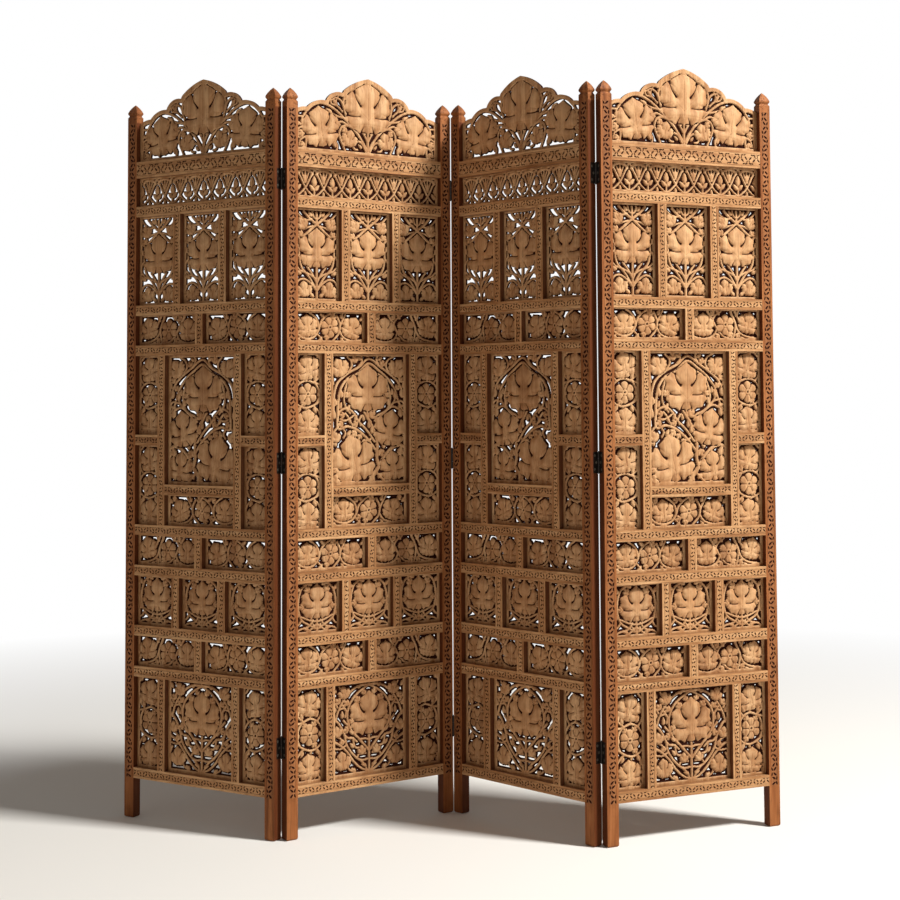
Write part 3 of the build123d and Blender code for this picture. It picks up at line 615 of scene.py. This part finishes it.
def carve_into(sheaf, c, x0, z0, web, tone, flip):
    """Add a carved board: front surface, flat back and the walls of its holes and edges.
    The ground reaches web millimetres from every stem and leaf, and is pierced beyond. With a
    flip of -1 the board is turned left for right."""
    sd, top = np.minimum(c.sd + web, c.edge)[:, ::flip], c.top[:, ::flip]
    X, Z = c.X + x0, c.Z + z0
    # points: those of the grid in the wood, and where its edge crosses the grid's rows and columns
    M = sd > 0
    HX, VX = M[:, :-1] != M[:, 1:], M[:-1] != M[1:]
    NI, n0 = numbered(M, 0)
    HI, n1 = numbered(HX, n0)
    VI, _ = numbered(VX, n1)
    th = np.where(HX, sd[:, :-1] / np.where(HX, sd[:, :-1] - sd[:, 1:], 1), 0)
    tv = np.where(VX, sd[:-1] / np.where(VX, sd[:-1] - sd[1:], 1), 0)
    x = np.concatenate([X[M], (X[:, :-1] + th * STEP)[HX], X[:-1][VX]])
    z = np.concatenate([Z[M], Z[:, :-1][HX], (Z[:-1] + tv * STEP)[VX]])

    def at_points(a, drop=0.0):
        """Values at the points. A crossing takes that of the wood beside it, less a drop."""
        across = np.where(M[:, :-1], a[:, :-1], a[:, 1:])
        up = np.where(M[:-1], a[:-1], a[1:])
        return np.concatenate([a[M], across[HX] - drop, up[VX] - drop])

    t = at_points(top, EDGE_DROP)
    co = np.stack([x, np.minimum(FRONT - t, BACK - LEAST_THICK), z], 1)
    # recess, which the material paints as stain and shade: above nought low down and in hollows,
    # below it on the ridges and high wood, where it paints a highlight
    level = np.maximum(top, GROUND)
    near = at_points((soft(level, 3) - level) / 3.0 + 0.6 * (soft(level, 1) - level))
    low = 0.42 * np.clip(-t - 3.2, 0, 5) + 0.5 * near - 0.13 * np.clip(t + 1, 0, 3)
    low = np.clip(low, -0.6, 1)
    flat = np.stack([x, np.full(len(x), BACK), z], 1)
    front = sheaf.add(co, low, tone)
    back = sheaf.add(flat, BACK_RECESS, tone)
    wall_front = sheaf.add(co[n0:], np.maximum(low[n0:], WALL_RECESS), tone)
    wall_back = sheaf.add(flat[n0:], 1.0, tone)
    bits = (M[:-1, :-1] * 1 + M[:-1, 1:] * 2 + M[1:, 1:] * 4 + M[1:, :-1] * 8)
    corner = [NI[:-1, :-1], HI[:-1, :], NI[:-1, 1:], VI[:, 1:],
              NI[1:, 1:], HI[1:, :], NI[1:, :-1], VI[:, :-1]]
    for case, (poly, walls) in CASES.items():
        at = bits == case
        if not at.any():
            continue
        ring = np.stack([corner[k][at] for k in poly], 1)
        sheaf.poly(ring, front)
        if case != WHOLE:
            sheaf.poly(ring[:, ::-1], back)
        for p, q in walls:
            a, b = corner[p][at] - n0, corner[q][at] - n0
            sheaf.poly(np.stack([b + wall_front, a + wall_front, a + wall_back, b + wall_back], 1))
    # the flat back's whole cells, merged along each row
    edge = np.diff(np.pad((bits == WHOLE).astype(int), ((0, 0), (1, 1))), axis=1)
    js, starts = np.nonzero(edge == 1)
    _, ends = np.nonzero(edge == -1)
    quad = np.stack([NI[js, starts], NI[js + 1, starts], NI[js + 1, ends], NI[js, ends]], 1)
    sheaf.poly(quad, back)


# ---- vine bands
# gouges on one side of one bend of the stem: along, across, length, width and turn, drawn for a
# bend 14 mm long on a band 19 mm wide. The last two are for wide bands only
GOUGES = ((4.0, -1.6, 9.8, 4.1, -50), (3.6, 6.6, 8.0, 3.2, 16),
          (2.0, 3.4, 6.4, 2.6, 60), (6.4, -6.8, 6.0, 2.8, 30))
DRAWN_BEND, DRAWN_WIDTH, WIDE = 14.0, 19.0, 1.2
UNEVEN = (0.22, 0.16, 0.28, 0.14, 5.0)      # how much hand work varies each of these
GOUGE_SIDES = 8
FACE_Y, GOUGE_Y, CHANNEL_Y = 0.25, 1.75, 2.05       # depths below the member's face
FLOOR_SHARE = 0.74          # size of a gouge's floor
SKIRT_IN, GOUGE_IN = 0.5, 0.3               # room left beside the channel's wall, and the skirt
SKIRT_STEP = 12
# recess of the band's face, lightened a little as a painted highlight, and of the skirt at its top
# and foot, darkened as painted shade
FACE_RECESS, SKIRT_RECESS = -0.12, (0.5, 1.0)
# each vine: a bend's length, the gouges' size, and their recess at the rim and on the floor, which
# the material darkens with stain and painted shade
RAIL_VINE = (19.0, 0.95, (0.20, 0.46))
TOP_RAIL_VINE = (24.0, 1.2, (0.20, 0.46))
POST_VINE = (22.0, 1.24, (0.34, 0.62))
MUNTIN_VINE = (18.0, 0.82, (0.26, 0.54))


def vine_cuts(length, width, pitch, size):
    """Gouges of a running vine, on both sides of a waving stem."""
    k = width / DRAWN_WIDTH
    bends = max(2, 2 * round(length / (2 * pitch)))
    bend = length / bends
    q = bend / DRAWN_BEND
    cuts = []
    for i in range(bends):
        x = -length / 2 + (i + 0.5) * bend
        up = 1 if i % 2 else -1
        for side in (-1, 1):
            for along, across, long, wide, turn in GOUGES if k > WIDE else GOUGES[:2]:
                cuts.append((x + side * along * q, across * up * k, long * size, wide * size,
                             turn * up * side))
    return cuts


def gouge_rings(cuts):
    """Outline of every gouge, an egg with its blunt end first, slightly uneven as hand work is,
    and its middle."""
    c = np.array(cuts)
    c = c + rng.normal(0, 1, c.shape) * np.array(UNEVEN)
    t = np.arange(GOUGE_SIDES) * 2 * math.pi / GOUGE_SIDES
    u = c[:, 2:3] / 2 * np.cos(t)
    v = c[:, 3:4] / 2 * np.sin(t) * (1 - 0.3 * np.cos(t))
    turn = np.radians(c[:, 4:5])
    x = c[:, 0:1] + u * np.cos(turn) - v * np.sin(turn)
    z = c[:, 1:2] + u * np.sin(turn) + v * np.cos(turn)
    return np.stack([x, z], 2), c[:, None, :2]


def vine_into(sheaf, length, width, origin, along, across, tone, style=RAIL_VINE):
    """Add a carved vine laid in a channel. along and across are unit steps in x and z."""
    pitch, size, stain_and_shade = style
    rings, mid = gouge_rings(vine_cuts(length, width, pitch, size))
    hx, hz = length / 2, width / 2 - SKIRT_IN
    most = np.array([hx - GOUGE_IN, hz - GOUGE_IN])
    rings = np.clip(rings, -most, most)
    n = len(rings)
    flat = rings.reshape(-1, 2)
    xs = np.linspace(-hx, hx, max(2, int(length / SKIRT_STEP)))
    ring = np.array([(x, -hz) for x in xs] + [(x, hz) for x in xs[::-1]])
    m = len(ring)
    edges = [(i, (i + 1) % m) for i in range(m)]
    holes = [[m + i * GOUGE_SIDES + j for j in range(GOUGE_SIDES)] for i in range(n)]
    pts = [Vector(v) for v in np.concatenate([ring, flat])]
    verts, _, faces, _, _, inside = delaunay_2d_cdt(pts, edges, holes, 1, 1e-5)
    plane = np.array([tuple(v) for v in verts])
    tris = np.array([f for f, ids in zip(faces, inside) if not ids])
    flipped = along[0] * across[1] - along[1] * across[0] < 0

    def put(xz, deep, recess):
        x = origin[0] + xz[:, 0] * along[0] + xz[:, 1] * across[0]
        z = origin[1] + xz[:, 0] * along[1] + xz[:, 1] * across[1]
        return sheaf.add(np.stack([x, np.broadcast_to(deep, x.shape), z], 1), recess, tone)

    def faces_at(index, first):
        sheaf.poly(index[:, ::-1] if flipped else index, first)

    faces_at(tris, put(plane, FACE_Y, FACE_RECESS))
    # the gouges: a steep wall to a floor darkened with stain and painted shade
    low = n * GOUGE_SIDES
    inner = (rings - mid) * FLOOR_SHARE + mid
    wall = put(np.concatenate([flat, inner.reshape(-1, 2)]),
               np.repeat([FACE_Y, GOUGE_Y], low), np.repeat(stain_and_shade, low))
    i = np.arange(n)[:, None] * GOUGE_SIDES
    j = np.arange(GOUGE_SIDES)[None, :]
    k = (j + 1) % GOUGE_SIDES
    faces_at(np.stack([i + j, i + k, low + i + k, low + i + j], 2).reshape(-1, 4), wall)
    faces_at(low + i + j, wall)
    # skirt round the edge, down to the channel's floor, darkened as painted shade
    skirt = put(np.concatenate([ring, ring]),
                np.repeat([FACE_Y, CHANNEL_Y], m), np.repeat(SKIRT_RECESS, m))
    i = np.arange(m)
    j = (i + 1) % m
    faces_at(np.stack([j, i, m + i, m + j], 1), skirt)


# ---- a leaf's boards and bands
def tone():
    """How light or dark one piece of wood is."""
    return float(rng.uniform(-1, 1))


def board_sheaves():
    """For each hand of leaf, one sheaf for each of its carved groups."""
    out = {hand: {} for hand in WEB}

    def group(name, spots):
        for hand, web in WEB.items():
            sheaf = Sheaf()
            web = OPEN_WEB.get(name, web) if hand < 0 else web
            for c, x, z, flip in spots:
                carve_into(sheaf, c, x, z, web, tone(), flip)
            out[hand][name] = sheaf

    for name, row, h, marks in (("tall_boards", TALL, TALL_H, TALL_MARKS),
                                ("square_boards", SQUARE, SQUARE_H, SQUARE_MARKS)):
        c = board(THIRD, h, marks)
        group(name, [(c, MID + i * THIRD_STEP, row + h / 2, 1) for i in (-1, 0, 1)])
    edges = {"bottom": 5.5, "top": 3.5}
    pair = [(board(HALF, STRIP_H, marks, **edges), MID + side * HALF_STEP / 2)
            for marks, side in zip(STRIP_MARKS, (-1, 1))]
    spots = [(c, x, z + STRIP_H / 2, 1) for z in (STRIP1, STRIP2, STRIP3) for c, x in pair]
    c = board(CENTRE_W, STRIP_H, fitted(STRIP_MARKS[0], CENTRE_W / HALF), **edges)
    group("landscape_boards", spots + [(c, MID, CENTRE + STRIP_H / 2, 1)])
    c = board(SIDE_W, SIDE_H, NARROW_MARKS, side=5.5)
    spots = [(c, MID + side * (INNER - SIDE_W) / 2, z + SIDE_H / 2, side)
             for z in (CENTRE, CENTRE + SIDE_H + RAIL_H) for side in (-1, 1)]
    c = board(LOW_SIDE_W, TALL_H, fitted(NARROW_MARKS, -1, TALL_H / SIDE_H), side=5.5)
    spots += [(c, MID + side * (INNER - LOW_SIDE_W) / 2, LOW + TALL_H / 2, side)
              for side in (-1, 1)]
    group("narrow_boards", spots)
    window = board(CENTRE_W, WINDOW_H, WINDOW_MARKS, side=8.0, bottom=8.0, top=5.5)
    low = board(LOW_W, TALL_H, LOW_MARKS, side=7.0, bottom=8.0, top=5.5)
    group("centre_boards", [(window, MID, SILL + RAIL_H + WINDOW_H / 2, 1),
                            (low, MID, LOW + TALL_H / 2, 1)])
    lattice = board(INNER, LATTICE_H, lattice_marks(), side=4.5)
    group("lattice_board", [(lattice, MID, LATTICE + LATTICE_H / 2, 1)])
    group("crest_board", [(crest_board(), MID, CREST_Z + CREST_MID, 1)])
    return out


def band_sheaves():
    """Vines for a leaf's posts, rails and muntins."""
    flat, up = ((1, 0), (0, 1)), ((0, 1), (-1, 0))
    posts, rails, muntins = Sheaf(), Sheaf(), Sheaf()
    post_w, rail_h, top_rail_h, muntin_w = (
        w - 2 * BORDER for w in (POST_W, RAIL_H, TOP_RAIL_H, MUNTIN_W))
    height = CREST_Z + SIDE_CREST - FOOT_H
    for x in (POST_W / 2, LEAF_W - POST_W / 2):
        vine_into(posts, height, post_w, (x, FOOT_H + height / 2), *up, tone(), POST_VINE)
    for z in RAILS[:-1]:
        vine_into(rails, INNER, rail_h, (MID, z + RAIL_H / 2), *flat, tone())
    spot = (MID, RAILS[-1] + TOP_RAIL_H / 2)
    vine_into(rails, INNER, top_rail_h, spot, *flat, tone(), TOP_RAIL_VINE)
    for side in (-1, 1):
        spot = (MID + side * (INNER - SIDE_W) / 2, CENTRE + SIDE_H + RAIL_H / 2)
        vine_into(rails, SIDE_W, rail_h, spot, *flat, tone())
    vine_into(rails, CENTRE_W, rail_h, (MID, SILL + RAIL_H / 2), *flat, tone())
    # muntins, by their distance from the middle, foot and height
    pairs = (((LOW_W + MUNTIN_W) / 2, LOW, TALL_H), (THIRD_STEP / 2, SQUARE, SQUARE_H),
             ((CENTRE_W + MUNTIN_W) / 2, CENTRE, CENTRE_H), (THIRD_STEP / 2, TALL, TALL_H))
    places = [(side * x, z, size) for x, z, size in pairs for side in (-1, 1)]
    places += [(0, z, STRIP_H) for z in (STRIP1, STRIP2, STRIP3)]
    for x, z, size in places:
        vine_into(muntins, size, muntin_w, (MID + x, z + size / 2), *up, tone(), MUNTIN_VINE)
    return {"post_vines": posts, "rail_vines": rails, "muntin_vines": muntins}


# ---- materials
def srgb(r, g, b):
    """Linear colour from 8-bit sRGB numbers."""
    out = []
    for v in (r, g, b):
        v = v / 255
        out.append(v / 12.92 if v <= 0.04045 else ((v + 0.055) / 1.055) ** 2.4)
    return tuple(out) + (1.0,)


class Nodes:
    """Short way to write the nodes of a material or a world."""

    def __init__(self, owner):
        owner.use_nodes = True
        self.owner, self.tree = owner, owner.node_tree
        self.tree.nodes.clear()

    def add(self, kind, inputs=None, **props):
        """New node. Its inputs are values or other nodes' sockets."""
        node = self.tree.nodes.new(kind)
        for k, v in props.items():
            setattr(node, k, v)
        for k, v in (inputs or {}).items():
            if isinstance(v, bpy.types.NodeSocket):
                self.tree.links.new(v, node.inputs[k])
            else:
                node.inputs[k].default_value = v
        return node

    def math(self, op, a, b=0.0, clamp=False):
        return self.add("ShaderNodeMath", {0: a, 1: b}, operation=op, use_clamp=clamp).outputs[0]

    def times(self, a, b):
        return self.math("MULTIPLY", a, b)

    def over(self, value, start, gain):
        """0 up to the start, and then rising by gain, to 1."""
        return self.math("MULTIPLY", self.math("SUBTRACT", value, start), gain, True)

    def under(self, value, end, gain):
        """0 from the end on, and rising by gain below it, to 1."""
        return self.math("MULTIPLY", self.math("SUBTRACT", end, value), gain, True)

    def mix(self, factor, a, b, blend="MIX"):
        node = self.add("ShaderNodeMix", {0: factor, 6: a, 7: b},
                        data_type="RGBA", blend_type=blend)
        return node.outputs[2]

    def noise(self, vector, scale, detail, rough, distort=0.0):
        return self.add("ShaderNodeTexNoise", {
            "Vector": vector, "Scale": scale, "Detail": detail, "Roughness": rough,
            "Distortion": distort}).outputs[0]

    def ramp(self, value, stops):
        node = self.add("ShaderNodeValToRGB", {0: value})
        ramp = node.color_ramp
        while len(ramp.elements) < len(stops):
            ramp.elements.new(0.5)
        for e, (pos, col) in zip(ramp.elements, stops):
            e.position = pos
            e.color = col
        return node.outputs[0]

    def turned(self, vector, degrees):
        """A vector turned back about z by the angle at which a leaf stands."""
        if not degrees:
            return vector
        return self.add("ShaderNodeVectorRotate", {
            "Vector": vector, "Angle": -math.radians(degrees)}, rotation_type="Z_AXIS").outputs[0]

    def seen(self):
        """1 for rays by which the eye sees, straight, in a reflection or through glass."""
        rays = self.add("ShaderNodeLightPath").outputs
        seen = self.math("MAXIMUM", rays["Is Camera Ray"], rays["Is Glossy Ray"])
        return self.math("MAXIMUM", seen, rays["Is Transmission Ray"])

    def finish(self, color, rough, height, strength, distance, metallic=0.0, specular=0.12):
        bump = self.add("ShaderNodeBump", {
            "Height": height, "Strength": strength, "Distance": distance})
        shader = self.add("ShaderNodeBsdfPrincipled", {
            "Base Color": color, "Roughness": rough, "Metallic": metallic,
            "Specular IOR Level": specular, "Normal": bump.outputs[0]})
        self.add("ShaderNodeOutputMaterial", {0: shader.outputs[0]})
        return self.owner


# colours along the grain's ramp, from a dark streak to a light one and back
STREAKS = (0.30, 0.47, 0.62, 0.78)
POST_COLORS = ((102, 56, 28), (140, 84, 46), (168, 108, 64), (120, 70, 38))
RAIL_COLORS = ((130, 84, 50), (172, 124, 82), (206, 162, 117), (150, 102, 64))
BOARD_COLORS = ((136, 92, 58), (172, 125, 84), (206, 163, 119), (154, 107, 71))
PORES, GRIME, PUNCHED = srgb(84, 46, 22), srgb(104, 60, 30), srgb(66, 30, 12)
# the ridge colour is a painted highlight, the recess colour is stain and painted shade, and the
# side colour is painted shade
LIGHTER, DARKER, RIDGE_HIGHLIGHT = srgb(192, 142, 96), srgb(120, 74, 40), srgb(122, 98, 74)
RECESS_STAIN_AND_SHADE, SIDE_SHADE, RUST = srgb(42, 12, 3), srgb(76, 34, 15), srgb(88, 50, 30)

# noise per metre, across the grain and along it
FIBRE_GRAIN, PORE_GRAIN = (46.0, 3.0), (420.0, 14.0)
DIRT_SCALE, PUNCH_SCALE, RUST_SCALE = 38.0, 150.0, 90.0


def wood(name, colors, turn=0.0, flat=False, carved=False, punched_above=None):
    """Oiled hardwood. The grain runs up, or along the leaf's width where flat is set.
    Above a height in metres it may be matted all over with a round punch."""
    n = Nodes(bpy.data.materials.new(name))
    place = n.turned(n.add("ShaderNodeTexCoord").outputs["Object"], turn)

    def grained(across, along):
        """The place, scaled so that noise is drawn out along the grain."""
        scale = (along, across, across) if flat else (across, across, along)
        return n.add("ShaderNodeMapping", {"Vector": place, "Scale": scale}).outputs[0]

    streak = n.noise(grained(*FIBRE_GRAIN), 1.0, 4.0, 0.6, 0.6)
    pores = n.noise(grained(*PORE_GRAIN), 1.0, 2.0, 0.5)
    cloud = n.noise(place, 5.0, 3.0, 0.5)
    dirt = n.noise(place, DIRT_SCALE, 4.0, 0.65)
    col = n.ramp(streak, [(at, srgb(*color)) for at, color in zip(STREAKS, colors)])
    col = n.mix(n.over(cloud, 0.40, 1.5), col, srgb(*colors[1]))
    col = n.mix(n.under(pores, 0.44, 3.0), col, PORES)
    col = n.mix(n.over(dirt, 0.50, 1.9), col, GRIME)
    rough = n.math("ADD", n.times(dirt, 0.25), 0.45)
    height = n.math("ADD", n.times(pores, 0.6), n.times(streak, 0.4))
    if punched_above is not None:
        up = n.add("ShaderNodeSeparateXYZ", {0: place}).outputs[2]
        matted = n.over(up, punched_above, 300.0)
        punch = n.add("ShaderNodeTexVoronoi", {"Vector": place, "Scale": PUNCH_SCALE})
        dot = n.times(n.under(punch.outputs["Distance"], 0.42, 3.2), matted)
        col = n.mix(n.times(dot, 0.6), col, PUNCHED)
        height = n.math("SUBTRACT", height, n.times(dot, 1.5))
    if carved:
        low = n.add("ShaderNodeAttribute", attribute_name="recess").outputs["Fac"]
        light = n.times(n.add("ShaderNodeAttribute", attribute_name="tone").outputs["Fac"], 0.32)
        col = n.mix(n.math("MAXIMUM", light, 0.0), col, LIGHTER)
        col = n.mix(n.math("MAXIMUM", n.times(light, -1.0), 0.0), col, DARKER)
        # painted highlight: ridges and high wood, where the recess is below nought, are screened
        # lighter
        col = n.mix(n.math("MULTIPLY", low, -1.5, True), col, RIDGE_HIGHLIGHT, "SCREEN")
        # stain and painted shade: recesses, hollows and hole walls darken, raggedly with the dirt
        ragged = n.math("ADD", low, n.times(n.math("SUBTRACT", dirt, 0.5), 0.30))
        stain_and_shade = n.over(ragged, 0.05, 2.2)
        col = n.mix(stain_and_shade, col, RECESS_STAIN_AND_SHADE)
        rough = n.math("ADD", rough, n.times(stain_and_shade, 0.3), True)
    else:
        # painted shade on the sides of the members, which come out darker than their faces
        facing = n.turned(n.add("ShaderNodeTexCoord").outputs["Normal"], turn)
        face = n.math("ABSOLUTE", n.add("ShaderNodeSeparateXYZ", {0: facing}).outputs[1])
        side = n.under(face, 0.75, 3.0)
        if punched_above is not None:
            side = n.times(side, n.math("SUBTRACT", 1.0, n.times(matted, 0.7)))
        col = n.mix(n.times(side, 0.35 if flat else 0.85), col, SIDE_SHADE)
    return n.finish(col, rough, height, 0.35, 0.0008)


def metal(name, clean, rough):
    """Old metal with rust spots."""
    n = Nodes(bpy.data.materials.new(name))
    rust = n.noise(n.add("ShaderNodeTexCoord").outputs["Object"], RUST_SCALE, 5.0, 0.65)
    spots = n.over(rust, 0.54, 4.0)
    dull = n.math("ADD", n.times(spots, 0.3), rough)
    return n.finish(n.mix(spots, clean, RUST), dull, rust, 0.4, 0.0006, 0.75, 0.5)


WHITE = (1.0, 1.0, 1.0, 1.0)
AMBIENT, AMBIENT_TINT = 0.155, (1.0, 0.87, 0.74, 1.0)
FLOOR_TONE = (0.82, 0.81, 0.79, 1.0)
FADE = (1.3, 0.4)           # where the floor starts to run out, in metres, and how fast


def pale_floor():
    """Pale floor that runs out to the white of the background far from the object."""
    n = Nodes(bpy.data.materials.new("stage_pale"))
    place = n.add("ShaderNodeNewGeometry").outputs["Position"]
    far = n.add("ShaderNodeVectorMath", {0: place, 1: (0, 0, 0)}, operation="DISTANCE")
    fade = n.over(far.outputs["Value"], *FADE)
    body = n.add("ShaderNodeBsdfPrincipled", {"Base Color": FLOOR_TONE, "Roughness": 0.9})
    glow = n.add("ShaderNodeEmission", {"Color": WHITE, "Strength": 1.0})
    mix = n.add("ShaderNodeMixShader", {
        0: n.times(fade, n.seen()), 1: body.outputs[0], 2: glow.outputs[0]})
    n.add("ShaderNodeOutputMaterial", {0: mix.outputs[0]})
    return n.owner


def studio():
    """World that is white to the eye and in reflections, and dim and warm as a light."""
    n = Nodes(bpy.data.worlds.new("studio"))
    seen = n.seen()
    strength = n.add("ShaderNodeMapRange", {"Value": seen, "To Min": AMBIENT, "To Max": 1.0})
    back = n.add("ShaderNodeBackground", {
        0: n.mix(seen, AMBIENT_TINT, WHITE), 1: strength.outputs[0]})
    n.add("ShaderNodeOutputWorld", {0: back.outputs[0]})
    return n.owner


# ---- dress the frame
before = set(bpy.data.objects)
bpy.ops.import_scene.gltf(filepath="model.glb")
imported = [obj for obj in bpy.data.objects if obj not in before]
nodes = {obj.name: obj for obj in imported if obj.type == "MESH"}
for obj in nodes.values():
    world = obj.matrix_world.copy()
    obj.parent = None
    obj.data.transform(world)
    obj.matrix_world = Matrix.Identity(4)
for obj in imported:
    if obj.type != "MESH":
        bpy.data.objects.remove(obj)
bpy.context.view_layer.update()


def dress(obj, mat):
    """Give an object one material."""
    obj.data.materials.clear()
    obj.data.materials.append(mat)


VINE_TOP = (CREST_Z + SIDE_CREST + 1.0) / 1000
for i, yaw in enumerate(YAW):
    leaf = "leaf_%d" % (i + 1)
    post_wood = wood("wood_posts_%d" % (i + 1), POST_COLORS, yaw, punched_above=VINE_TOP)
    dress(nodes[leaf + "_left_post"], post_wood)
    dress(nodes[leaf + "_right_post"], post_wood)
    dress(nodes[leaf + "_muntins"], wood("wood_muntins_%d" % (i + 1), RAIL_COLORS, yaw))
    dress(nodes[leaf + "_rails"], wood("wood_rails_%d" % (i + 1), RAIL_COLORS, yaw, flat=True))
hinge_iron = metal("hinge_iron", srgb(40, 34, 30), 0.45)
screw_steel = metal("screw_steel", srgb(128, 120, 108), 0.35)
for name, obj in nodes.items():
    if name.startswith("fold_"):
        dress(obj, screw_steel if name.endswith("_screws") else hinge_iron)

# ---- the carved pieces
board_wood = wood("wood_boards", BOARD_COLORS, carved=True)
band_wood = {
    "post_vines": wood("wood_post_vines", POST_COLORS, carved=True),
    "rail_vines": wood("wood_rail_vines", RAIL_COLORS, flat=True, carved=True),
    "muntin_vines": wood("wood_muntin_vines", RAIL_COLORS, carved=True),
}
boards, bands = board_sheaves(), band_sheaves()
meshes = {}
for hand, side in ((1, "r"), (-1, "l")):
    for name, sheaf in (boards[hand] | bands).items():
        mesh = sheaf.build("%s_%s" % (name, side), None if hand > 0 else MID)
        mesh.materials.append(band_wood.get(name, board_wood))
        meshes[name, hand] = mesh


def standing(leaf, yaw):
    """Where a leaf stands: turned by its angle, with its left post in the box the frame gives."""
    turn = Matrix.Rotation(math.radians(yaw), 4, "Z")
    plan = [turn @ Vector((x, y, 0)) / 1000 for x in (0, POST_W) for y in (0, POST_T)]
    low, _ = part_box(leaf + "_left_post")
    corner = low - Vector((min(p.x for p in plan), min(p.y for p in plan), 0))
    return Matrix.Translation(corner) @ turn


for i, yaw in enumerate(YAW):
    leaf = "leaf_%d" % (i + 1)
    hand = 1 if i % 2 else -1
    place = standing(leaf, yaw)
    for name in list(boards[hand]) + list(bands):
        obj = bpy.data.objects.new("%s_%s_carved" % (leaf, name), meshes[name, hand])
        bpy.context.scene.collection.objects.link(obj)
        obj.matrix_world = place
        bpy.context.view_layer.update()
        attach(obj, leaf)
        if name in boards[hand]:
            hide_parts("%s_%s" % (leaf, name))

# ---- stage, light, camera
scene = bpy.context.scene
bpy.ops.mesh.primitive_plane_add(size=60, location=(0, 0, 0))
floor = bpy.context.object
floor.name = "stage_floor"
floor.data.materials.append(pale_floor())
scene.world = studio()

AIM = Vector((0, 0, 0.9))


def area(name, place, size, power, color):
    """Square lamp at a place, aimed at the object."""
    light = bpy.data.lights.new(name, "AREA")
    light.shape = "SQUARE"
    light.size = size
    light.energy = power
    light.color = color
    obj = bpy.data.objects.new(name, light)
    scene.collection.objects.link(obj)
    obj.location = place
    obj.rotation_euler = (AIM - Vector(place)).to_track_quat("-Z", "Y").to_euler()


area("key", (4.75, -2.1, 5.4), 1.0, 770, (1.0, 0.98, 0.93))
area("fill", (-3.6, -3.8, 2.2), 2.5, 8, (1.0, 0.88, 0.75))

# camera: focal length and principal point in pixels of a square picture, pitch and roll
IMAGE, SENSOR = 900, 36
FOCAL, PX, PY = 1698.78, 470.90, 303.61
PITCH, ROLL = 0.0548366, -0.00552750
CAMERA_PLACE = (0.06490, -4.15572, 1.03881)
camera = bpy.data.cameras.new("camera")
cam = bpy.data.objects.new("camera", camera)
scene.collection.objects.link(cam)
scene.camera = cam
camera.sensor_width = SENSOR
camera.lens = FOCAL / IMAGE * SENSOR
camera.shift_x = (IMAGE / 2 - PX) / IMAGE
camera.shift_y = (PY - IMAGE / 2) / IMAGE
camera.clip_end = 200
forward = Vector((0, math.cos(PITCH), math.sin(PITCH)))
lift = Vector((0, -math.sin(PITCH), math.cos(PITCH)))
right = Vector((1, 0, 0)) * math.cos(ROLL) + lift * math.sin(ROLL)
above = Vector((1, 0, 0)) * -math.sin(ROLL) + lift * math.cos(ROLL)
turn = Matrix((right, above, -forward)).transposed()
cam.matrix_world = Matrix.Translation(CAMERA_PLACE) @ turn.to_4x4()

scene.view_settings.view_transform = "Standard"
